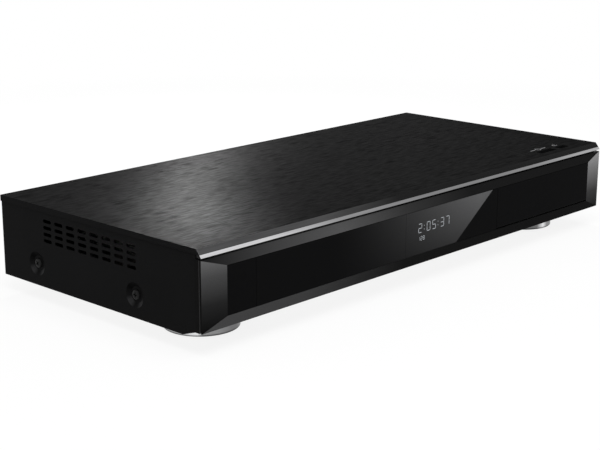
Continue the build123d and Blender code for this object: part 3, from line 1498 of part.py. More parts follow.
with BuildPart() as fan_frame:
    with BuildSketch(from_front(fan_back)):
        with Locations((fan_middle_x, fan_middle_z)):
            Rectangle(fan_size, fan_size)
        chamfer(vertices(), length=fan_corner)
        with Locations((fan_middle_x, fan_middle_z)):
            Circle(fan_bore, mode=Mode.SUBTRACT)
    extrude(amount=fan_depth)
    with BuildSketch(from_front(fan_back)):
        with Locations((fan_middle_x, fan_middle_z)):
            Rectangle(2 * fan_bore + fan_spoke_depth, fan_spoke)
            Rectangle(fan_spoke, 2 * fan_bore + fan_spoke_depth)
            Circle(fan_hub_radius)
    extrude(amount=fan_spoke_depth)
    lengthwise((fan_middle_x, fan_middle_z), (fan_front + fan_depth / 2, fan_back), fan_stub_radius)
fan_frame.part.label = "fan_frame"
export_step(fan_frame.part, "parts/fan_frame.step")

with BuildPart() as fan_rotor:
    hub_back = fan_back - fan_spoke_depth - running_gap
    lengthwise((fan_middle_x, fan_middle_z), (hub_back - fan_hub_depth, hub_back), fan_hub_radius)
    with Locations(Plane(origin=(fan_middle_x, hub_back - fan_hub_depth / 2, fan_middle_z),
                         x_dir=(1, 0, 0), z_dir=(0, -1, 0))):
        with PolarLocations((blade_root + blade_tip) / 2, blade_count):
            Box(blade_tip - blade_root, blade_chord, blade_thickness, rotation=(blade_pitch, 0, 0))
    lengthwise((fan_middle_x, fan_middle_z), (hub_back - fan_depth / 2, hub_back + overrun),
               fan_stub_radius + bearing_gap, Mode.SUBTRACT)
fan_rotor.part.label = "fan_rotor"
export_step(fan_rotor.part, "parts/fan_rotor.step")

# Ribbon cable from the side of the drive, under the hard disc, to the main board.
ribbon_width = 20.0
ribbon_thickness = 0.4
ribbon_inset = 44.0
ribbon_rise = 14.4
ribbon_middle_y = main_board_y[0] + ribbon_inset
ribbon_top = pan_floor + ribbon_rise
ribbon_level = pan_floor + ribbon_thickness
ribbon_bend = 1.6
ribbon_landing = 6.0
ribbon_start = drive_offset + drive_half
ribbon_end = main_board_x[0] - 2 * ribbon_thickness

with BuildPart() as drive_ribbon:
    with BuildSketch(from_front(ribbon_middle_y + ribbon_width / 2)):
        with BuildLine() as ribbon_line:
            FilletPolyline(
                (ribbon_start + ribbon_thickness, ribbon_top),
                (ribbon_start + ribbon_thickness, ribbon_level),
                (ribbon_end, ribbon_level),
                (ribbon_end, socket_floor + ribbon_thickness),
                (ribbon_end + ribbon_landing, socket_floor + ribbon_thickness),
                radius=ribbon_bend / 2,
            )
            offset(amount=ribbon_thickness / 2, side=Side.BOTH)
        make_face()
    extrude(amount=ribbon_width)
drive_ribbon.part.label = "drive_ribbon"
export_step(drive_ribbon.part, "parts/drive_ribbon.step")
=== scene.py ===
"""Looks of a slim disc recorder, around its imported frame. Metres, the frame's own axes."""

from math import cos, pi, radians, sin

import bpy
from bpy.props import FloatProperty, FloatVectorProperty, PointerProperty, StringProperty
from mathutils import Matrix, Vector


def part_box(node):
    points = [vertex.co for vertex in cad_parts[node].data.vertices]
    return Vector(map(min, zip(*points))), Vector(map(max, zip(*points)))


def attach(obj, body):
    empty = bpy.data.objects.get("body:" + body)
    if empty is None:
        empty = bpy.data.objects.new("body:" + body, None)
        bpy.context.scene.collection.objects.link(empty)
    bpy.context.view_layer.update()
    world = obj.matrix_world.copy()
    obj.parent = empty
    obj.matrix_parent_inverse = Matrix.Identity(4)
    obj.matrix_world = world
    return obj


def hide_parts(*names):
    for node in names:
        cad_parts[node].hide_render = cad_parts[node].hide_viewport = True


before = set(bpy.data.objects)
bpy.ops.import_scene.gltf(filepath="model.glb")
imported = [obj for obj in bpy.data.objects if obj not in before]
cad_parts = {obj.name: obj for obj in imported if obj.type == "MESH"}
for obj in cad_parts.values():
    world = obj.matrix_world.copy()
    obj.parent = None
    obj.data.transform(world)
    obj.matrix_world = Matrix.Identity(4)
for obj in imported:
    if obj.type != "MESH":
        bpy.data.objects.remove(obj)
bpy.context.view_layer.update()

bl_info = {
    "name": "Disc Recorder Looks",
    "version": (1, 0, 0),
    "blender": (4, 5, 0),
    "location": "View3D > Sidebar > Recorder",
    "description": "Finishes, display and studio for a slim disc recorder",
    "category": "Object",
}

MM = 0.001
BLACK = (0, 0, 0)
MARGIN = 1 * MM  # of a cutting tool past what it cuts, and round a face that is picked
BEVEL_ANGLE = radians(30)
SMOOTH_ANGLE = radians(15)

# The top plate, a folded sheet, with holes for the caps of the buttons.
SHEET = 0.9 * MM
BEVEL_RUN = 2.6 * MM
PLATE_EDGE = 0.12 * MM
CAP_FLANGE = 1.2 * MM
CAP_LENGTH = 4.8 * MM
CAP_GAP = 0.5 * MM
SLOPING = (0.2, 0.9)  # least and most upward part of a sloping face's normal
UPRIGHT = 0.5  # most upward part of an upright face's normal

# Gloss of the anodised plate, with painted sheen: the gloss is painted thinner towards the front
# right corner, and thicker at the front on a slanting line.
GLOSS_SHARE = 0.078
GLOSS_ROUGHNESS = 0.38
CAP_SHARE = 0.1
SHEEN_FADE_SHARE = 0.55
SHEEN_FADE_SLOPE = 1.2
SHEEN_FADE_FROM = 100 * MM
SHEEN_FADE_TO = 300 * MM
PAINTED_SHEEN_GAIN = 1.35
PAINTED_SHEEN_SLOPE = 0.75
PAINTED_SHEEN_LINE = -105 * MM
PAINTED_SHEEN_REACH = 64 * MM
PAINTED_SHEEN_FRONT = -76 * MM
PAINTED_SHEEN_BACK = -4 * MM
NICK_SHARE = 0.55
STREAK_DEPTH = 0.04 * MM

# Painted reflection on the gloss front: it brightens from left to right, up to a slanting edge.
REFLECTION_LEFT = -105 * MM
REFLECTION_RIGHT = 52 * MM
REFLECTION_POWER = 1.9
REFLECTION_BOTTOM = 0.38
REFLECTION_CORNER = 68.4 * MM
REFLECTION_SLOPE = 1.38
REFLECTION_BLUR = 0.4 * MM
WINDOW_RECESS = 0.05 * MM
WINDOW_EDGE = 0.1 * MM

# Painted light. Each stop is a place from 0 to 1, rightwards or upwards, and a level. A turn
# is the part of the normal that points to one side, past which a face counts as turned.
FACET_ABOVE = ((0.0, 0.03), (0.14, 0.16), (0.28, 0.28), (0.43, 0.11), (0.6, 0.03), (1.0, 0.02))
FACET_BELOW = ((0.0, 0.23), (0.2, 0.18), (0.33, 0.07), (0.43, 0.02), (1.0, 0.003))
FACET_LEFT = ((0.0, 0.01), (0.35, 0.06), (0.7, 0.22), (1.0, 0.52))
FACET_RIGHT = ((0.0, 0.0), (0.3, 0.12), (0.7, 0.68), (1.0, 1.25))
FACET_RIM = 0.02
FACET_TURN = 0.05
RIM_TURN = 0.5
LACQUER_SHINE = 0.012
LACQUER_SHINE_BELOW = 0.007
STRIP_STOPS = ((0.0, 0.97), (0.12, 1.0), (0.28, 0.44), (0.5, 0.33), (0.78, 0.36), (1.0, 0.66))
STRIP_END = 0.02
END_TURN = 0.7
EDGE_STOPS = ((0.0, 0.85), (0.25, 0.8), (0.42, 0.12), (1.0, 0.06))
FOOT_STOPS = {
    "front_foot_left": ((0.0, 0.4), (0.2, 0.45), (0.4, 1.0), (0.47, 1.0), (0.53, 0.36), (0.75, 0.3),
                        (1.0, 0.14)),
    "front_foot_right": ((0.5, 0.16), (0.7, 0.2), (0.81, 1.0), (0.88, 0.3), (1.0, 0.1)),
}
FOOT_DARK = 0.6 * MM  # dark up to this height above its underside, light from the next one on
FOOT_LIGHT = 1.6 * MM
DISH_TURN = 0.6
FLAT_TURN = 0.95
DISH_GLINT = 3.6

# Counter and printed marks.
PRINT_DEPTH = 0.03 * MM
DIGIT_WIDTH = 0.56  # of its height
BAR_LAP = 0.3  # of a stroke, between the ends of two bars
COLON_HEIGHTS = (0.3, 0.7)
COLON_WIDTH = 1.3  # of a stroke
SMALL_STROKE = 0.65  # of a stroke
SMALL_PITCH = 0.92  # of the small height
DIGIT_BACK = 0.045 * MM  # behind the front of the window's box, as the recess is
DIGIT_UNLIT = 0.06
DIGIT_DIM = 0.85
DIGIT_GLOW = 0.5
RING_SIDES = 48
SEGMENTS = {
    "0": "abcdef", "1": "bc", "2": "abdeg", "3": "abcdg", "4": "bcfg",
    "5": "acdfg", "6": "acdefg", "7": "abc", "8": "abcdefg", "9": "abcdfg",
}

# Case screws. Their places are in millimetres, Y and Z in the sides, X and Z in the rear panel.
SCREW_HEAD = 1.5 * MM
SCREW_RADIUS = 3.2 * MM
SCREW_DOME = 0.9 * MM
SHAFT_RADIUS = 1.5 * MM
SHAFT_LENGTH = 4.6 * MM
CROSS_REACH = 1.7 * MM
CROSS_HALF = 0.45 * MM
CROSS_FLOOR = 0.5 * MM
SCREW_SIDES = 40
SCREW_SMOOTH = radians(25)
SCREW_TURN = radians(37)  # from one screw's cross to the next
SIDE_SCREWS = ((-41.0, 25.4), (58.0, 25.4))
REAR_SCREWS = ((84.0, 19.6), (206.0, 57.0), (152.5, 57.0), (-30.0, 57.0), (-206.0, 57.0))

# Studio, in metres, with the width of the film in millimetres.
PAPER = (0.9, 0.9, 0.9)
FLOOR_SIZE = 9
FLOOR_CELLS = 4
SHADOW_REACH = 0.34
SHADOW_END = 0.9
WORLD_LIGHT = 0.45
KEY_PLACE = (-0.3, -0.5, 1.5)
KEY_AIM = (0, 0, 0)
KEY_SIZE = 1.4
STREAK_PLACE = (0.385, 0.553, 0.344)
STREAK_AIM = (-0.12, 0, 0.066)
STREAK_SIZE = 0.05
FILM_WIDTH = 36
NEAREST = 0.01


def colour(label, value, text):
    return FloatVectorProperty(name=label, description=text, default=value, size=3, min=0, max=1,
                               subtype="COLOR")


def length(label, value, text):
    """A length, whose default is given in millimetres."""
    return FloatProperty(name=label, description=text, default=value * MM, min=0, unit="LENGTH")


class RecorderFinish(bpy.types.PropertyGroup):
    """Colours of the recorder's finishes."""

    plate: colour("Top plate", (0.004, 0.004, 0.0041), "Dye of the anodised top plate")
    # The plate edge's painted highlight at its lightest.
    edge: colour("Plate edge", (0.078, 0.078, 0.079), "Front edge of the plate, at its lightest")
    # The edge strip's painted highlight at its lightest.
    strip: colour("Edge strip", (0.62, 0.62, 0.63), "Strip under the plate, at its lightest")
    cover: colour("Cover", (0.0068, 0.0068, 0.007), "Powder coat of the cover and rear panel")
    # The facets' painted reflections at their lightest; darker levels are painted from this colour.
    bezel: colour("Bezel", (0.27, 0.27, 0.273), "Lacquer of the facets where they are lightest")
    gloss: colour("Gloss front", (0.0052, 0.0052, 0.0054), "Polished black of the front panels")
    # The window colour is a painted reflection at its brightest.
    window_reflection: colour("Window", (0.115, 0.115, 0.117), "Brightest part of the display window")
    print: colour("Print", (0.11, 0.11, 0.113), "Printed marks behind the buttons")
    digits: colour("Digits", (0.80, 0.84, 0.88), "Light of the counter in the display")
    # The front feet are darkened from this colour by painted highlights and shade.
    foot: colour("Front feet", (0.85, 0.85, 0.86), "Satin metal of the front feet")
    zinc: colour("Zinc", (0.50, 0.50, 0.49), "Plated steel of the chassis")


class RecorderDisplay(bpy.types.PropertyGroup):
    """Places and sizes of the counter behind the window."""

    clock: StringProperty(name="Counter", description="Digits and colons shown", default="2:05:37")
    track: StringProperty(name="Track", description="Small digits under the counter", default="128")
    left: FloatProperty(name="Left", description="Left edge of the counter", default=-16.6 * MM,
                        unit="LENGTH")
    base: length("Base", 37.4, "Lower edge of the counter above the table")
    height: length("Height", 6.5, "Height of a digit")
    pitch: length("Pitch", 6.1, "From one digit to the next")
    stroke: length("Stroke", 0.46, "Thickness of a stroke")
    small_base: length("Small base", 32.0, "Lower edge of the small digits")
    small_height: length("Small height", 2.7, "Height of the small digits")


class RecorderMarks(bpy.types.PropertyGroup):
    """Places and sizes of the printed marks behind the buttons."""

    setback: length("Setback", 7.6, "From the middle of a button back to its mark")
    size: length("Size", 5.2, "Width of a mark")
    line: length("Line", 0.7, "Thickness of its lines")
    dash: length("Dash", 6.2, "Length of the dash each side of the power mark")


class RecorderStudio(bpy.types.PropertyGroup):
    """Camera and lamps."""

    azimuth: FloatProperty(name="Azimuth", description="Camera's turn from the front",
                           default=radians(-46.73), subtype="ANGLE")
    elevation: FloatProperty(name="Elevation", description="Camera's height as an angle",
                             default=radians(14.85), subtype="ANGLE")
    roll: FloatProperty(name="Roll", description="Camera's turn about its own axis",
                        default=0.0018, subtype="ANGLE")
    distance: length("Distance", 1040, "From the camera to the point it looks at")
    target: FloatVectorProperty(name="Target", description="Point that the camera looks at", size=3,
                                default=(4.9 * MM, 26.7 * MM, 15.3 * MM), subtype="TRANSLATION")
    lens: FloatProperty(name="Lens", description="Focal length", default=82.4, min=1)
    key: FloatProperty(name="Key", description="Watts of the softbox overhead", default=22)
    streak: FloatProperty(name="Streak", description="Watts of the lamp that streaks the plate",
                          default=2.1)
    white: FloatProperty(name="White floor", description="Share of plain white in the floor seen",
                         default=0.85, min=0, max=1)


# Node trees. Where a helper takes a material, a world's nodes will do as well.

def finish(name, base, roughness, metallic=0.0, specular=0.5):
    """A material with its uniform values on the shader's own sockets."""
    material = bpy.data.materials.new(name)
    material.use_nodes = True
    shader = material.node_tree.nodes["Principled BSDF"]
    shader.inputs["Base Color"].default_value = (*base, 1)
    shader.inputs["Roughness"].default_value = roughness
    shader.inputs["Metallic"].default_value = metallic
    shader.inputs["Specular IOR Level"].default_value = specular
    return material, shader


def node(material, kind, **values):
    made = material.node_tree.nodes.new(kind)
    for key, value in values.items():
        setattr(made, key, value)
    return made


def link(material, source, target):
    """Gives an input another node's output, a number or a colour."""
    if isinstance(source, bpy.types.NodeSocket):
        material.node_tree.links.new(source, target)
    elif isinstance(source, (int, float)):
        target.default_value = source
    else:
        target.default_value = (*source, 1)


def place_coordinates(material, stretch=(1, 1, 1)):
    """Object coordinates, stretched for a pattern."""
    source = node(material, "ShaderNodeTexCoord")
    mapping = node(material, "ShaderNodeMapping")
    mapping.inputs["Scale"].default_value = stretch
    link(material, source.outputs["Object"], mapping.inputs["Vector"])
    return mapping.outputs["Vector"]


def noise(material, scale, detail, stretch=(1, 1, 1)):
    """Soft noise from 0 to 1, mostly between 0.3 and 0.7."""
    texture = node(material, "ShaderNodeTexNoise")
    texture.inputs["Scale"].default_value = scale
    texture.inputs["Detail"].default_value = detail
    link(material, place_coordinates(material, stretch), texture.inputs["Vector"])
    return texture.outputs["Fac"]


def streaked(material, stretch, detail=4):
    """Noise drawn out along the axis with the lowest figure."""
    return noise(material, 1, detail, stretch)


def spread(material, factor, low, high, from_low=0.3, from_high=0.7, kind="LINEAR"):
    """The factor moved to the range given."""
    change = node(material, "ShaderNodeMapRange", interpolation_type=kind)
    change.inputs["From Min"].default_value = from_low
    change.inputs["From Max"].default_value = from_high
    change.inputs["To Min"].default_value = low
    change.inputs["To Max"].default_value = high
    link(material, factor, change.inputs["Value"])
    return change.outputs["Result"]


def tint(material, factor, low, high):
    """A colour between two, as the factor goes from 0 to 1."""
    mix = node(material, "ShaderNodeMix", data_type="RGBA")
    link(material, factor, mix.inputs[0])
    link(material, low, mix.inputs[6])
    link(material, high, mix.inputs[7])
    return mix.outputs[2]


def choose(material, test, first, second):
    """The second value where the test is 1, else the first."""
    mix = node(material, "ShaderNodeMix", data_type="FLOAT")
    link(material, test, mix.inputs[0])
    link(material, first, mix.inputs[2])
    link(material, second, mix.inputs[3])
    return mix.outputs[0]


def ramp(material, factor, stops):
    """A value that follows a few stops, each a place from 0 to 1 and a level."""
    made = node(material, "ShaderNodeValToRGB")
    points = made.color_ramp.elements
    while len(points) < len(stops):
        points.new(0.5)
    for point, (place, level) in zip(points, stops):
        point.position = place
        point.color = (level, level, level, 1)
    link(material, factor, made.inputs["Fac"])
    return made.outputs["Color"]


def maths(material, operation, *values):
    """A math node; each value is a number or a socket."""
    made = node(material, "ShaderNodeMath", operation=operation)
    for index, value in enumerate(values):
        link(material, value, made.inputs[index])
    return made.outputs[0]


def times(material, level, *others):
    """The product of several values."""
    for other in others:
        level = maths(material, "MULTIPLY", level, other)
    return level


def places(material):
    """Object coordinates, split into X, Y and Z."""
    split = node(material, "ShaderNodeSeparateXYZ")
    link(material, place_coordinates(material), split.inputs[0])
    return split.outputs


def facing(material):
    """The surface's normal, split into X, Y and Z."""
    split = node(material, "ShaderNodeSeparateXYZ")
    link(material, node(material, "ShaderNodeNewGeometry").outputs["Normal"], split.inputs[0])
    return split.outputs


def sees_white(material):
    """1 for rays from the camera, a gloss or glass, which see plain white, else 0."""
    path = node(material, "ShaderNodeLightPath")
    glossy = maths(material, "MAXIMUM", path.outputs["Is Glossy Ray"],
                   path.outputs["Is Transmission Ray"])
    return maths(material, "MAXIMUM", path.outputs["Is Camera Ray"], glossy)


def darkened(material, shader, level, base):
    """Takes the base colour down towards black with the level."""
    link(material, tint(material, level, BLACK, base), shader.inputs["Base Color"])


def dent(material, shader, height, strength, depth):
    """Roughens the surface by a bump."""
    bump = node(material, "ShaderNodeBump")
    bump.inputs["Strength"].default_value = strength
    bump.inputs["Distance"].default_value = depth
    link(material, height, bump.inputs["Height"])
    link(material, bump.outputs["Normal"], shader.inputs["Normal"])


def shade(value, share):
    """A colour made lighter or darker."""
    return tuple(min(1, part * share) for part in value)


def varied(material, shader, factor, base, contrast):
    """Lightens and darkens the base colour by a contrast, as the factor goes from 0 to 1."""
    link(material, tint(material, factor, shade(base, 1 - contrast), shade(base, 1 + contrast)),
         shader.inputs["Base Color"])


# Finishes.

def grained(name, base, roughness, metallic=0.0, specular=0.3, size=900, contrast=0.18, bump=0.12,
            depth=0.06 * MM):
    """A coated or moulded finish: fine grain in its colour, gloss and surface."""
    material, shader = finish(name, base, roughness, metallic, specular)
    fine = noise(material, size, 3)
    broad = noise(material, size / 40, 3)
    grain = maths(material, "ADD", spread(material, fine, 0, 0.6), spread(material, broad, 0, 0.4))
    varied(material, shader, grain, base, contrast)
    link(material, spread(material, broad, roughness * 0.88, roughness * 1.12),
         shader.inputs["Roughness"])
    dent(material, shader, fine, bump, depth)
    return material


def ground(name, base, roughness=0.2, contrast=0.1):
    """Ground steel, with fine streaks from front to back."""
    material, shader = finish(name, base, roughness, metallic=1.0)
    streaks = streaked(material, (900, 60, 900), detail=5)
    varied(material, shader, spread(material, streaks, 0, 1), base, contrast)
    link(material, spread(material, streaks, roughness * 0.85, roughness * 1.15),
         shader.inputs["Roughness"])
    dent(material, shader, streaks, 0.05, STREAK_DEPTH)
    return material


def powder(name, base):
    """Fine powder coat."""
    return grained(name, base, 0.48, specular=0.01, size=1400, contrast=0.25, bump=0.25,
                   depth=0.08 * MM)


def anodised(name, base, share):
    """Black anodised metal, brushed from side to side: a thin metal gloss over a dark dye, its
    sheen painted thinner or thicker by place.
    """
    material, shader = finish(name, base, GLOSS_ROUGHNESS, share, specular=0.0)
    dashes = streaked(material, (100, 500, 500), detail=2)
    fine = streaked(material, (150, 1300, 1300))
    long = spread(material, dashes, 0, 0.7, from_low=0.36, from_high=0.64)
    streaks = maths(material, "ADD", long, spread(material, fine, 0, 0.3))
    varied(material, shader, streaks, base, 0.25)
    place = places(material)
    # Painted sheen: the gloss is painted thinner towards the front right corner, and thicker along
    # a slanting line at the front.
    corner = maths(material, "MULTIPLY_ADD", place["Y"], -SHEEN_FADE_SLOPE, place["X"])
    thin = spread(material, corner, share, share * SHEEN_FADE_SHARE, SHEEN_FADE_FROM, SHEEN_FADE_TO)
    line = maths(material, "MULTIPLY_ADD", place["Y"], -PAINTED_SHEEN_SLOPE, place["X"])
    away = maths(material, "ABSOLUTE", maths(material, "SUBTRACT", line, PAINTED_SHEEN_LINE))
    near = spread(material, away, PAINTED_SHEEN_GAIN, 0, 0, PAINTED_SHEEN_REACH, "SMOOTHSTEP")
    front = spread(material, place["Y"], 1, 0, PAINTED_SHEEN_FRONT, PAINTED_SHEEN_BACK)
    painted_sheen = maths(material, "MULTIPLY_ADD", near, front, 1)
    nicks = streaked(material, (55, 300, 300), detail=3)
    worn = spread(material, nicks, 1, NICK_SHARE, from_low=0.55, from_high=0.66)
    uneven = spread(material, streaks, 0.72, 1.3, 0, 1)
    link(material, times(material, thin, painted_sheen, worn, uneven), shader.inputs["Metallic"])
    link(material, spread(material, streaks, GLOSS_ROUGHNESS * 1.06, GLOSS_ROUGHNESS * 0.94, 0, 1),
         shader.inputs["Roughness"])
    dent(material, shader, streaks, 1.0, STREAK_DEPTH)
    return material


def gloss_black(name, base):
    """Polished black plastic."""
    return grained(name, base, 0.1, specular=0.004, size=260, contrast=0.1, bump=0.01,
                   depth=0.02 * MM)


def painted_reflection_black(name, colours):
    """Gloss black with a painted reflection, which brightens from the tray's fascia towards the
    display and upwards, up to a slanting edge.
    """
    low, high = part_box("display_window")
    material, shader = finish(name, colours.gloss, 0.1, specular=0.004)
    # Painted reflection: brighter to the right and upwards, cut off along a slanting edge.
    place = places(material)
    across = spread(material, place["X"], 0, 1, REFLECTION_LEFT, REFLECTION_RIGHT)
    fade = maths(material, "POWER", across, REFLECTION_POWER)
    upward = spread(material, place["Z"], REFLECTION_BOTTOM, 1, low[2], high[2])
    slant = maths(material, "MULTIPLY_ADD", place["Z"], -REFLECTION_SLOPE, place["X"])
    edge = REFLECTION_CORNER - REFLECTION_SLOPE * high[2]
    inside = spread(material, slant, 1, 0, edge - REFLECTION_BLUR, edge + REFLECTION_BLUR)
    fine = spread(material, noise(material, 2200, 2), 0.96, 1.04)
    level = times(material, fade, upward, inside, fine)
    link(material, tint(material, level, colours.gloss, colours.window_reflection), shader.inputs["Base Color"])
    return material


def dress(names, material):
    """Gives CAD nodes one material all over."""
    for name in names:
        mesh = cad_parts[name].data
        if not mesh.materials:
            mesh.materials.append(material)
        for slot in range(len(mesh.materials)):
            mesh.materials[slot] = material


def clad(piece, *materials):
    """Gives a new piece its materials, with the first one all over."""
    piece.data.materials.clear()
    for material in materials:
        piece.data.materials.append(material)


# Modelling.

def alone(piece):
    """Selects one piece and nothing else."""
    bpy.ops.object.select_all(action="DESELECT")
    piece.select_set(True)
    bpy.context.view_layer.objects.active = piece


def placed():
    """Moves the place, turn and size of the object into its mesh."""
    bpy.ops.object.transform_apply(location=True, rotation=True, scale=True)


def settle(piece, name):
    """Names a finished piece and puts its object at the origin, its place in its mesh."""
    alone(piece)
    placed()
    piece.name = name
    piece.data.name = name
    return piece


def slab(low, high):
    """A box between two corners, to be shaped further."""
    bpy.ops.object.select_all(action="DESELECT")
    middle = [(a + b) / 2 for a, b in zip(low, high)]
    bpy.ops.mesh.primitive_cube_add(size=1, location=middle)
    piece = bpy.context.object
    piece.scale = [b - a for a, b in zip(low, high)]
    placed()
    return piece


def polygon(sides, radius, middle=(0, 0, 0)):
    """A flat face with equal sides, to be shaped further."""
    bpy.ops.object.select_all(action="DESELECT")
    bpy.ops.mesh.primitive_circle_add(vertices=sides, radius=radius, fill_type="NGON",
                                      location=middle)
    placed()
    return bpy.context.object


def pick(piece, kind, test=lambda spot: True):
    """In edit mode, selects the vertices or faces that pass a test of their middle."""
    bpy.ops.object.mode_set(mode="EDIT")
    bpy.ops.mesh.select_mode(type=kind)
    bpy.ops.mesh.select_all(action="DESELECT")
    bpy.ops.object.mode_set(mode="OBJECT")
    if kind == "VERT":
        for vertex in piece.data.vertices:
            vertex.select = test(vertex.co)
    else:
        for face in piece.data.polygons:
            face.select = test(face.center)
    bpy.ops.object.mode_set(mode="EDIT")


def raised(height):
    """Gives the faces that are picked a thickness, and leaves edit mode."""
    bpy.ops.mesh.extrude_region_move(TRANSFORM_OT_translate={"value": (0, 0, height)})
    bpy.ops.mesh.select_all(action="SELECT")
    bpy.ops.mesh.normals_make_consistent(inside=False)
    bpy.ops.object.mode_set(mode="OBJECT")


def modified(piece, kind, **values):
    """Adds a modifier with its values and applies it."""
    modifier = piece.modifiers.new(kind.title(), kind)
    for key, value in values.items():
        setattr(modifier, key, value)
    alone(piece)
    bpy.ops.object.modifier_apply(modifier=modifier.name)


def rounded(piece, width, steps=2):
    """Rounds the sharp edges and shades the piece smooth."""
    modified(piece, "BEVEL", width=width, segments=steps, limit_method="ANGLE",
             angle_limit=BEVEL_ANGLE)
    bpy.ops.object.shade_smooth_by_angle(angle=SMOOTH_ANGLE)


def cut(piece, tool):
    """Takes one piece's shape out of another."""
    modified(piece, "BOOLEAN", operation="DIFFERENCE", object=tool, solver="EXACT")
    bpy.data.objects.remove(tool)


def joined(pieces, name):
    """Joins pieces to one, under a name."""
    bpy.ops.object.select_all(action="DESELECT")
    for piece in pieces:
        piece.select_set(True)
    bpy.context.view_layer.objects.active = pieces[0]
    if len(pieces) > 1:
        bpy.ops.object.join()
    return settle(bpy.context.object, name)


class RECORDER_OT_top_plate(bpy.types.Operator):
    """Brushed top plate with its sloping front edge, turned-down sides and button holes"""

    bl_idname = "recorder.top_plate"
    bl_label = "Top Plate"

    def folded(self, low, high):
        """The sheet, its front edge sloping down to the polished strip."""
        strip_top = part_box("edge_strip")[1][2]
        middle = (low[2] + high[2]) / 2
        plate = slab(low, (high[0], high[1], high[2] - PRINT_DEPTH))
        pick(plate, "VERT", lambda spot: spot.y < 0 and spot.z > middle)
        bpy.ops.transform.translate(value=(0, BEVEL_RUN, 0))
        pick(plate, "VERT", lambda spot: spot.y < 0 and spot.z < middle)
        bpy.ops.transform.translate(value=(0, 0, strip_top - low[2]))
        pick(plate, "FACE", lambda spot: spot.z < low[2] + MARGIN and abs(spot.x) < MARGIN)
        bpy.ops.mesh.delete(type="FACE")
        bpy.ops.object.mode_set(mode="OBJECT")
        modified(plate, "SOLIDIFY", thickness=SHEET, offset=-1)
        return plate

    def hole(self, plate, button, bottom, top):
        """A hole round the cap of a button, clear of it on all sides."""
        first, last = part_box(button)
        middle = (first[1] + last[1]) / 2
        reach = CAP_LENGTH / 2 + CAP_GAP
        cut(plate, slab((first[0] + CAP_FLANGE - CAP_GAP, middle - reach, bottom - MARGIN),
                        (last[0] - CAP_FLANGE + CAP_GAP, middle + reach, top + MARGIN)))

    def cut_edge(self, base, low, high):
        """Bare metal of the cut front edge, with a painted highlight, lightest at the left."""
        material, shader = finish("cut_edge", base, 0.32, metallic=1.0, specular=0.0)
        # Painted highlight across the edge, lightest at the left.
        across = spread(material, places(material)["X"], 0, 1, low[0], high[0])
        streaks = spread(material, streaked(material, (40, 900, 900)), 0.88, 1.12)
        level = times(material, ramp(material, across, EDGE_STOPS), streaks)
        darkened(material, shader, level, base)
        link(material, spread(material, level, 0.4, 1.0, 0, 0.8), shader.inputs["Metallic"])
        return material

    def execute(self, context):
        colours = context.scene.recorder_finish
        low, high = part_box("top_plate")
        plate = self.folded(low, high)
        for button in ("power_button", "eject_button"):
            self.hole(plate, button, low[2], high[2])
        rounded(plate, PLATE_EDGE)
        piece = settle(plate, "brushed_top_plate")
        clad(piece, anodised("brushed_black", colours.plate, GLOSS_SHARE),
             self.cut_edge(colours.edge, low, high), powder("plate_side", colours.cover))
        for face in piece.data.polygons:
            if face.center.y < low[1] + BEVEL_RUN and SLOPING[0] < face.normal.z < SLOPING[1]:
                face.material_index = 1
            elif abs(face.normal.z) < UPRIGHT:
                face.material_index = 2
        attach(piece, "case")
        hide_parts("top_plate")
        return {"FINISHED"}


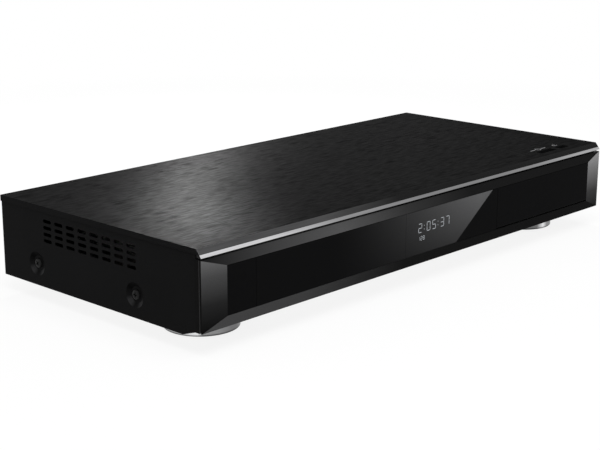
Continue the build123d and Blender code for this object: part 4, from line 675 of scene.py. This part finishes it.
class RECORDER_OT_front(bpy.types.Operator):
    """Lacquered facets, polished strip and gloss panels of the front"""

    bl_idname = "recorder.front"
    bl_label = "Front"

    def polished(self, base):
        """Polished metal with a painted highlight, lightest towards its left end, its end faces
        dark.
        """
        low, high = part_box("edge_strip")
        material, shader = finish("polished_strip", base, 0.2, metallic=1.0)
        # Painted highlight along the strip, and dark end faces.
        across = spread(material, places(material)["X"], 0, 1, low[0], high[0])
        streaks = spread(material, streaked(material, (30, 1200, 1200)), 0.93, 1.07)
        level = times(material, ramp(material, across, STRIP_STOPS), streaks)
        ends = maths(material, "LESS_THAN", facing(material)["X"], -END_TURN)
        darkened(material, shader, choose(material, ends, level, STRIP_END), base)
        return material

    def lacquer(self, base):
        """Dark lacquer with painted reflections and shade: the upper and lower facets change from
        side to side, the side facets lighten towards the top, the side returns are dark, and
        downward faces shine less."""
        low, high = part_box("front_bezel")
        material, shader = finish("facet_lacquer", base, 0.32, specular=LACQUER_SHINE)
        place, normal = places(material), facing(material)
        across = spread(material, place["X"], 0, 1, low[0], high[0])
        upward = spread(material, place["Z"], 0, 1, low[2], high[2])
        sideways = maths(material, "ABSOLUTE", normal["X"])
        # Painted reflections and shade: a level for each facet by the way it faces.
        level = ramp(material, across, FACET_BELOW)
        for part, test, limit, light in (
                (normal["Z"], "GREATER_THAN", 0, ramp(material, across, FACET_ABOVE)),
                (normal["X"], "LESS_THAN", -FACET_TURN, ramp(material, upward, FACET_LEFT)),
                (normal["X"], "GREATER_THAN", FACET_TURN, ramp(material, upward, FACET_RIGHT)),
                (sideways, "GREATER_THAN", RIM_TURN, FACET_RIM)):
            level = choose(material, maths(material, test, part, limit), level, light)
        fine = spread(material, noise(material, 1500, 3), 0.94, 1.06)
        darkened(material, shader, times(material, level, fine), base)
        link(material, spread(material, noise(material, 40, 3), 0.28, 0.36),
             shader.inputs["Roughness"])
        # Painted shade: downward faces shine less.
        downward = maths(material, "LESS_THAN", normal["Z"], -FACET_TURN)
        link(material, choose(material, downward, LACQUER_SHINE, LACQUER_SHINE_BELOW),
             shader.inputs["Specular IOR Level"])
        return material

    def execute(self, context):
        colours = context.scene.recorder_finish
        dress(["edge_strip"], self.polished(colours.strip))
        dress(["front_bezel"], self.lacquer(colours.bezel))
        dress(["panel_strip", "front_flap"], gloss_black("gloss_black", colours.gloss))
        dress(["tray_fascia"], painted_reflection_black("fascia_painted_reflection", colours))
        dress(["power_button", "eject_button"],
              anodised("button_black", shade(colours.plate, 0.5), GLOSS_SHARE * CAP_SHARE))
        return {"FINISHED"}


class RECORDER_OT_window(bpy.types.Operator):
    """Display window: gloss black panel with a painted reflection that brightens towards the
    display, below a slanting edge
    """

    bl_idname = "recorder.window"
    bl_label = "Display Window"

    def execute(self, context):
        low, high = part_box("display_window")
        window = slab((low[0], low[1] + WINDOW_RECESS, low[2]), high)
        rounded(window, WINDOW_EDGE)
        piece = settle(window, "window_painted_reflection")
        clad(piece, painted_reflection_black("window_painted_reflection", context.scene.recorder_finish))
        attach(piece, "case")
        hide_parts("display_window")
        return {"FINISHED"}


class RECORDER_OT_clock(bpy.types.Operator):
    """Lit digits of the counter, made of bars with pointed ends"""

    bl_idname = "recorder.clock"
    bl_label = "Counter"

    def bar(self, middle, size, stroke, upright, face):
        """A hexagon drawn out to a bar, turned to face forward."""
        piece = polygon(6, stroke / 2 / cos(pi / 6))
        for side in (1, -1):
            pick(piece, "VERT", lambda spot: side * spot.x > stroke / 8)
            bpy.ops.transform.translate(value=(side * (size - stroke) / 2, 0, 0))
        pick(piece, "FACE")
        raised(PRINT_DEPTH)
        piece.rotation_euler = (radians(90), radians(90) if upright else 0, 0)
        piece.location = (middle[0], face, middle[1])
        placed()
        return piece

    def digit(self, figure, left, base, height, stroke, face):
        width = height * DIGIT_WIDTH
        spots = {
            "a": (width / 2, height, False), "g": (width / 2, height / 2, False),
            "d": (width / 2, 0, False), "f": (0, height * 3 / 4, True),
            "b": (width, height * 3 / 4, True), "e": (0, height / 4, True),
            "c": (width, height / 4, True),
        }
        bars = []
        for key in SEGMENTS[figure]:
            x, z, upright = spots[key]
            reach = (height / 2 if upright else width) - stroke * BAR_LAP
            bars.append(self.bar((left + x, base + z), reach, stroke, upright, face))
        return bars

    def light(self, lit):
        """Light of the digits, slightly uneven."""
        material, shader = finish("counter_light", shade(lit, DIGIT_UNLIT), 0.5, specular=0.0)
        glow = spread(material, noise(material, 4000, 2), 0, 1)
        link(material, tint(material, glow, shade(lit, DIGIT_DIM), lit),
             shader.inputs["Emission Color"])
        shader.inputs["Emission Strength"].default_value = DIGIT_GLOW
        return material

    def execute(self, context):
        display = context.scene.recorder_display
        stroke = display.stroke
        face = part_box("display_window")[0][1] + DIGIT_BACK
        bars = []
        place = display.left + stroke / 2
        for figure in display.clock:
            if figure == ":":
                for share in COLON_HEIGHTS:
                    spot = (place, display.base + display.height * share)
                    bars.append(self.bar(spot, stroke * COLON_WIDTH, stroke, False, face))
                place += display.pitch / 2
            else:
                bars += self.digit(figure, place, display.base + stroke / 2,
                                   display.height - stroke, stroke, face)
                place += display.pitch
        place = display.left + stroke / 2
        for figure in display.track:
            bars += self.digit(figure, place, display.small_base, display.small_height,
                               stroke * SMALL_STROKE, face)
            place += display.small_height * SMALL_PITCH
        piece = joined(bars, "counter_digits")
        clad(piece, self.light(context.scene.recorder_finish.digits))
        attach(piece, "case")
        return {"FINISHED"}


class RECORDER_OT_cover(bpy.types.Operator):
    """Powder coat of the cover and rear panel, the feet, and the plated pan"""

    bl_idname = "recorder.cover"
    bl_label = "Cover and Feet"

    def dished(self, base):
        """Powder coat whose screw dishes have painted shade at the top and two painted highlights
        at the bottom.
        """
        material = powder("cover_coat", base)
        shader = material.node_tree.nodes["Principled BSDF"]
        coat = shader.inputs["Base Color"].links[0].from_socket
        normal = facing(material)
        sideways = maths(material, "ABSOLUTE", normal["X"])
        # Painted shade on the dish slopes that face down, and painted highlights on those that face
        # up.
        slope = times(material, maths(material, "GREATER_THAN", sideways, DISH_TURN),
                      maths(material, "LESS_THAN", sideways, FLAT_TURN))
        upward = spread(material, normal["Z"], 0, 1, 0.12, 0.3)
        apart = spread(material, maths(material, "ABSOLUTE", normal["Y"]), 0, 1, 0.1, 0.3)
        overhang = spread(material, normal["Z"], 0, 0.7, 0, -0.3)
        dark = tint(material, times(material, slope, overhang), coat, BLACK)
        painted_glint = times(material, slope, upward, apart)
        light = tint(material, painted_glint, dark, shade(base, DISH_GLINT))
        link(material, light, shader.inputs["Base Color"])
        return material

    def spun(self, name, base, stops):
        """Turned metal of a round foot, with painted highlights and shade in bands round its front,
        and darker near its underside.
        """
        low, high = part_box(name)
        material, shader = finish("spun_" + name, base, 0.28, metallic=1.0)
        place = places(material)
        middle = (low[0] + high[0] - low[1] - high[1]) / 2
        reach = (high[0] - low[0]) / 2 * 2 ** 0.5
        # Painted highlights and shade in bands across the foot, seen from the front.
        across = spread(material, maths(material, "SUBTRACT", place["X"], place["Y"]), 0, 1,
                        middle - reach, middle + reach)
        rings = spread(material, streaked(material, (300, 300, 2600)), 0.92, 1.08)
        rim = spread(material, place["Z"], 0.2, 1, low[2] + FOOT_DARK, low[2] + FOOT_LIGHT)
        level = times(material, ramp(material, across, stops), rings, rim)
        darkened(material, shader, level, base)
        return material

    def execute(self, context):
        colours = context.scene.recorder_finish
        dress(["rear_panel"], powder("powder_coat", colours.cover))
        dress(["case_cover"], self.dished(colours.cover))
        dress(["foot_screws"], grained("nickel_screw", (0.5, 0.5, 0.5), 0.3, metallic=1.0,
                                       specular=0.5, size=700, contrast=0.1))
        for name, stops in FOOT_STOPS.items():
            dress([name], self.spun(name, colours.foot, stops))
        dress(["rear_foot_left", "rear_foot_right"],
              grained("moulded_black", (0.02, 0.02, 0.021), 0.5))
        dress(["foot_pads"], grained("foot_rubber", (0.02, 0.02, 0.02), 0.8, specular=0.2,
                                     size=600, contrast=0.3, bump=0.3))
        dress(["chassis_pan"], grained("plated_steel", colours.zinc, 0.42, metallic=0.9,
                                       specular=0.5, size=120, contrast=0.12, bump=0.05))
        return {"FINISHED"}


class RECORDER_OT_screws(bpy.types.Operator):
    """Pan-head case screws with cross recesses, in the side dishes and across the rear panel"""

    bl_idname = "recorder.screws"
    bl_label = "Case Screws"

    def pan_head(self):
        """One screw, its axis upward and the seat of its head at the origin."""
        bpy.ops.object.select_all(action="DESELECT")
        bpy.ops.mesh.primitive_cylinder_add(vertices=SCREW_SIDES, radius=SCREW_RADIUS,
                                            depth=SCREW_HEAD, location=(0, 0, SCREW_HEAD / 2))
        placed()
        screw = bpy.context.object
        pick(screw, "FACE", lambda spot: spot.z < SCREW_HEAD / 4)
        bpy.ops.mesh.inset(thickness=SCREW_RADIUS - SHAFT_RADIUS)
        bpy.ops.mesh.extrude_region_move(TRANSFORM_OT_translate={"value": (0, 0, -SHAFT_LENGTH)})
        pick(screw, "FACE", lambda spot: spot.z > SCREW_HEAD * 3 / 4)
        bpy.ops.mesh.bevel(offset=SCREW_DOME, segments=4, profile=0.5)
        bpy.ops.object.mode_set(mode="OBJECT")
        for x, y in ((CROSS_REACH, CROSS_HALF), (CROSS_HALF, CROSS_REACH)):
            cut(screw, slab((-x, -y, CROSS_FLOOR), (x, y, SCREW_HEAD * 2)))
        alone(screw)
        bpy.ops.object.shade_smooth_by_angle(angle=SCREW_SMOOTH)
        return screw

    def seats(self):
        """Where each head sits, turned to face outwards from the sides and the rear panel."""
        side_face, rear_face = [edge - SCREW_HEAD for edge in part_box("case_screws")[1][:2]]
        found = []
        for side in (-1, 1):
            for y, z in SIDE_SCREWS:
                spot = Matrix.Translation((side * side_face, y * MM, z * MM))
                found.append(spot @ Matrix.Rotation(side * pi / 2, 4, "Y"))
        for x, z in REAR_SCREWS:
            spot = Matrix.Translation((x * MM, rear_face, z * MM))
            found.append(spot @ Matrix.Rotation(-pi / 2, 4, "X"))
        return found

    def execute(self, context):
        screw = self.pan_head()
        copies = []
        for index, seat in enumerate(self.seats()):
            twin = screw.copy()
            twin.data = screw.data.copy()
            context.scene.collection.objects.link(twin)
            twin.matrix_world = seat @ Matrix.Rotation(index * SCREW_TURN, 4, "Z")
            copies.append(twin)
        bpy.data.objects.remove(screw)
        piece = joined(copies, "pan_head_screws")
        clad(piece, grained("dark_screw", (0.012, 0.012, 0.012), 0.32, metallic=0.25,
                            specular=0.05, size=700, contrast=0.2))
        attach(piece, "case")
        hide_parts("case_screws")
        return {"FINISHED"}


class RECORDER_OT_sockets(bpy.types.Operator):
    """Sockets at the rear and behind the flap"""

    bl_idname = "recorder.sockets"
    bl_label = "Sockets"

    def execute(self, context):
        black = grained("socket_black", (0.018, 0.018, 0.019), 0.42, specular=0.35)
        dress(["mains_inlet", "optical_socket", "card_slots", "card_bay"], black)
        nickel = grained("socket_nickel", (0.55, 0.54, 0.51), 0.28, metallic=1.0, specular=0.5,
                         size=500, contrast=0.1, bump=0.05)
        dress(["data_sockets", "video_sockets", "network_socket", "tuner", "memory_card_slot"],
              nickel)
        return {"FINISHED"}


class RECORDER_OT_inside(bpy.types.Operator):
    """Boards, drives, disc mechanism and fan inside the case"""

    bl_idname = "recorder.inside"
    bl_label = "Inside"

    def execute(self, context):
        dress(["main_board", "power_board", "button_board", "display_board"],
              grained("solder_mask", (0.02, 0.11, 0.05), 0.35, specular=0.4, size=300,
                      contrast=0.3, bump=0.1))
        dress(["disc_tray", "drive_chassis", "clamper", "turntable", "motor_pulley", "fan_frame",
               "fan_rotor"],
              grained("drive_black", (0.016, 0.016, 0.017), 0.45, specular=0.35, size=1100))
        dress(["loading_gear", "pulley_gear", "cam_slider"],
              grained("natural_plastic", (0.72, 0.70, 0.62), 0.4, specular=0.4, size=500,
                      contrast=0.06))
        dress(["loading_belt"],
              grained("belt_rubber", (0.02, 0.02, 0.02), 0.75, specular=0.2, contrast=0.2))
        dress(["drive_cover", "clamper_bridge", "disc_bracket", "traverse_base", "loading_motor",
               "spindle_motor", "sled_motor"],
              grained("zinc_sheet", (0.52, 0.52, 0.50), 0.38, metallic=0.9, specular=0.5, size=90,
                      contrast=0.14, bump=0.05))
        dress(["guide_rods", "lead_screw"], ground("ground_steel", (0.6, 0.6, 0.61)))
        dress(["laser_sled", "heat_sink", "hard_drive"],
              grained("cast_aluminium", (0.48, 0.48, 0.49), 0.45, metallic=0.9, specular=0.5,
                      size=260, contrast=0.15, bump=0.15))
        dress(["lens"],
              grained("coated_lens", (0.10, 0.12, 0.22), 0.05, specular=0.6, size=200,
                      contrast=0.1, bump=0.0))
        dress(["display_module"],
              grained("display_glass", (0.01, 0.012, 0.012), 0.08, specular=0.5, size=200,
                      contrast=0.1, bump=0.0))
        dress(["transformer"],
              grained("core_tape", (0.03, 0.026, 0.02), 0.45, specular=0.2, size=300,
                      contrast=0.2))
        dress(["capacitors"],
              grained("can_sleeve", (0.012, 0.012, 0.014), 0.4, specular=0.2, size=300,
                      contrast=0.2))
        dress(["drive_ribbon"],
              grained("ribbon_white", (0.78, 0.78, 0.74), 0.5, specular=0.4, size=300,
                      contrast=0.05))
        return {"FINISHED"}


class RECORDER_OT_marks(bpy.types.Operator):
    """Printed power and eject marks behind the buttons"""

    bl_idname = "recorder.marks"
    bl_label = "Button Marks"

    def bar(self, middle, size, level):
        """A flat printed bar, its corners rounded."""
        piece = slab((middle[0] - size[0] / 2, middle[1] - size[1] / 2, level - PRINT_DEPTH / 2),
                     (middle[0] + size[0] / 2, middle[1] + size[1] / 2, level))
        rounded(piece, PRINT_DEPTH / 3, steps=1)
        return piece

    def power(self, middle, size, line, level):
        """An open ring with a bar in its gap, and a dash on each side."""
        x, y = middle
        ring = polygon(RING_SIDES, size / 2, (x, y, level - PRINT_DEPTH / 2))
        pick(ring, "FACE")
        bpy.ops.mesh.inset(thickness=line)
        bpy.ops.mesh.delete(type="FACE")
        bpy.ops.object.mode_set(mode="OBJECT")
        gap = size * 0.2
        pick(ring, "FACE", lambda spot: abs(spot.x - x) < gap and spot.y > y)
        bpy.ops.mesh.delete(type="FACE")
        bpy.ops.mesh.select_all(action="SELECT")
        raised(PRINT_DEPTH / 2)
        dash = bpy.context.scene.recorder_marks.dash
        reach = size * 0.75 + dash / 2
        sides = [self.bar((x + side * reach, y), (dash, line * 1.6), level) for side in (-1, 1)]
        stem = self.bar((x, y + size * 0.3), (line, size * 0.55), level)
        return [ring, stem, *sides]

    def eject(self, middle, size, line, level):
        """A low triangle over a bar."""
        x, y = middle
        peak = polygon(3, size / 2)
        pick(peak, "FACE")
        raised(PRINT_DEPTH / 2)
        peak.scale = (1, 0.55, 1)
        peak.location = (x, y + size * 0.1, level - PRINT_DEPTH / 2)
        placed()
        return [peak, self.bar((x, y - size * 0.3), (size * 0.95, line), level)]

    def execute(self, context):
        marks = context.scene.recorder_marks
        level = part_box("top_plate")[1][2]
        pieces = []
        for button, mark in (("power_button", self.power), ("eject_button", self.eject)):
            low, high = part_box(button)
            middle = ((low[0] + high[0]) / 2, (low[1] + high[1]) / 2 + marks.setback)
            pieces += mark(middle, marks.size, marks.line, level)
        piece = joined(pieces, "button_marks")
        clad(piece, grained("mark_print", context.scene.recorder_finish.print, 0.5, size=2400,
                            contrast=0.1, bump=0.02, depth=0.02 * MM))
        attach(piece, "case")
        return {"FINISHED"}


class RECORDER_OT_studio(bpy.types.Operator):
    """Floor, backdrop, lamps and camera"""

    bl_idname = "recorder.studio"
    bl_label = "Studio"

    def softbox(self, name, place, aim, size, watts):
        """A square lamp that the camera doesn't see."""
        lamp = bpy.data.lights.new(name, "AREA")
        lamp.shape = "RECTANGLE"
        lamp.size = lamp.size_y = size
        lamp.energy = watts
        holder = bpy.data.objects.new(name, lamp)
        bpy.context.scene.collection.objects.link(holder)
        holder.location = place
        holder.visible_camera = False
        holder.rotation_euler = (Vector(aim) - Vector(place)).to_track_quat("-Z", "Y").to_euler()

    def paper(self, white):
        """White paper that keeps a soft shadow near the object and is plain white further off."""
        material, shader = finish("studio_paper", PAPER, 0.8, specular=0.1)
        varied(material, shader, noise(material, 300, 3), PAPER, 0.0111)
        place = places(material)
        across = times(material, place["X"], place["X"])
        along = times(material, place["Y"], place["Y"])
        radius = maths(material, "SQRT", maths(material, "ADD", across, along))
        share = spread(material, radius, white, 1, SHADOW_REACH, SHADOW_END)
        plain = node(material, "ShaderNodeEmission")
        mix = node(material, "ShaderNodeMixShader")
        link(material, times(material, share, sees_white(material)), mix.inputs[0])
        link(material, shader.outputs[0], mix.inputs[1])
        link(material, plain.outputs[0], mix.inputs[2])
        output = material.node_tree.nodes["Material Output"]
        link(material, mix.outputs[0], output.inputs["Surface"])
        return material

    def surroundings(self):
        """A white world, plain white where it is seen and softer as a light."""
        world = bpy.data.worlds.new("studio_white")
        world.use_nodes = True
        back = world.node_tree.nodes["Background"]
        light = spread(world, sees_white(world), WORLD_LIGHT, 1, 0, 1)
        link(world, light, back.inputs["Strength"])
        back.inputs["Color"].default_value = (1, 1, 1, 1)
        return world

    def photo_view(self, studio):
        """The camera, turned about the point that it looks at and then about its own axis."""
        lens = bpy.data.cameras.new("photo_view")
        lens.lens = studio.lens
        lens.sensor_width = FILM_WIDTH
        lens.clip_start = NEAREST
        camera = bpy.data.objects.new("photo_view", lens)
        turn, rise = studio.azimuth, studio.elevation
        back_way = Vector((sin(turn) * cos(rise), -cos(turn) * cos(rise), sin(rise)))
        camera.location = Vector(studio.target) + back_way * studio.distance
        right = (-back_way).cross(Vector((0, 0, 1))).normalized()
        above = right.cross(-back_way)
        leaning = cos(studio.roll) * right + sin(studio.roll) * above
        head = -sin(studio.roll) * right + cos(studio.roll) * above
        camera.rotation_euler = Matrix((leaning, head, back_way)).transposed().to_euler()
        return camera

    def execute(self, context):
        scene = context.scene
        studio = scene.recorder_studio
        bpy.ops.object.select_all(action="DESELECT")
        bpy.ops.mesh.primitive_grid_add(x_subdivisions=FLOOR_CELLS, y_subdivisions=FLOOR_CELLS,
                                        size=FLOOR_SIZE, location=(0, 0, 0))
        floor = settle(bpy.context.object, "studio_floor")
        clad(floor, self.paper(studio.white))
        scene.world = self.surroundings()
        self.softbox("key", KEY_PLACE, KEY_AIM, KEY_SIZE, studio.key)
        self.softbox("streak", STREAK_PLACE, STREAK_AIM, STREAK_SIZE, studio.streak)
        camera = self.photo_view(studio)
        scene.collection.objects.link(camera)
        scene.camera = camera
        scene.view_settings.view_transform = "Standard"
        return {"FINISHED"}


STEPS = ("studio", "top_plate", "front", "window", "clock", "marks", "cover", "screws", "sockets",
         "inside")
GROUPS = {
    "recorder_finish": RecorderFinish, "recorder_display": RecorderDisplay,
    "recorder_marks": RecorderMarks, "recorder_studio": RecorderStudio,
}


class RECORDER_PT_looks(bpy.types.Panel):
    """Sizes, colours and steps of the recorder's looks"""

    bl_label = "Disc Recorder"
    bl_space_type = "VIEW_3D"
    bl_region_type = "UI"
    bl_category = "Recorder"

    def draw(self, context):
        for group in GROUPS:
            values = getattr(context.scene, group)
            box = self.layout.box()
            for name in values.bl_rna.properties.keys():
                if name not in ("rna_type", "name"):
                    box.prop(values, name)
        for step in STEPS:
            self.layout.operator(f"recorder.{step}")


CLASSES = (
    *GROUPS.values(), RECORDER_OT_top_plate, RECORDER_OT_front, RECORDER_OT_window,
    RECORDER_OT_clock, RECORDER_OT_marks, RECORDER_OT_cover, RECORDER_OT_screws,
    RECORDER_OT_sockets, RECORDER_OT_inside, RECORDER_OT_studio, RECORDER_PT_looks,
)


def register():
    for kind in CLASSES:
        bpy.utils.register_class(kind)
    for name, group in GROUPS.items():
        setattr(bpy.types.Scene, name, PointerProperty(type=group))


def unregister():
    for name in GROUPS:
        delattr(bpy.types.Scene, name)
    for kind in reversed(CLASSES):
        bpy.utils.unregister_class(kind)


def plain(box):
    return [[float(value) for value in corner] for corner in box]


def main():
    register()
    for step in STEPS:
        getattr(bpy.ops.recorder, step)()


if __name__ == "__main__":
    main()
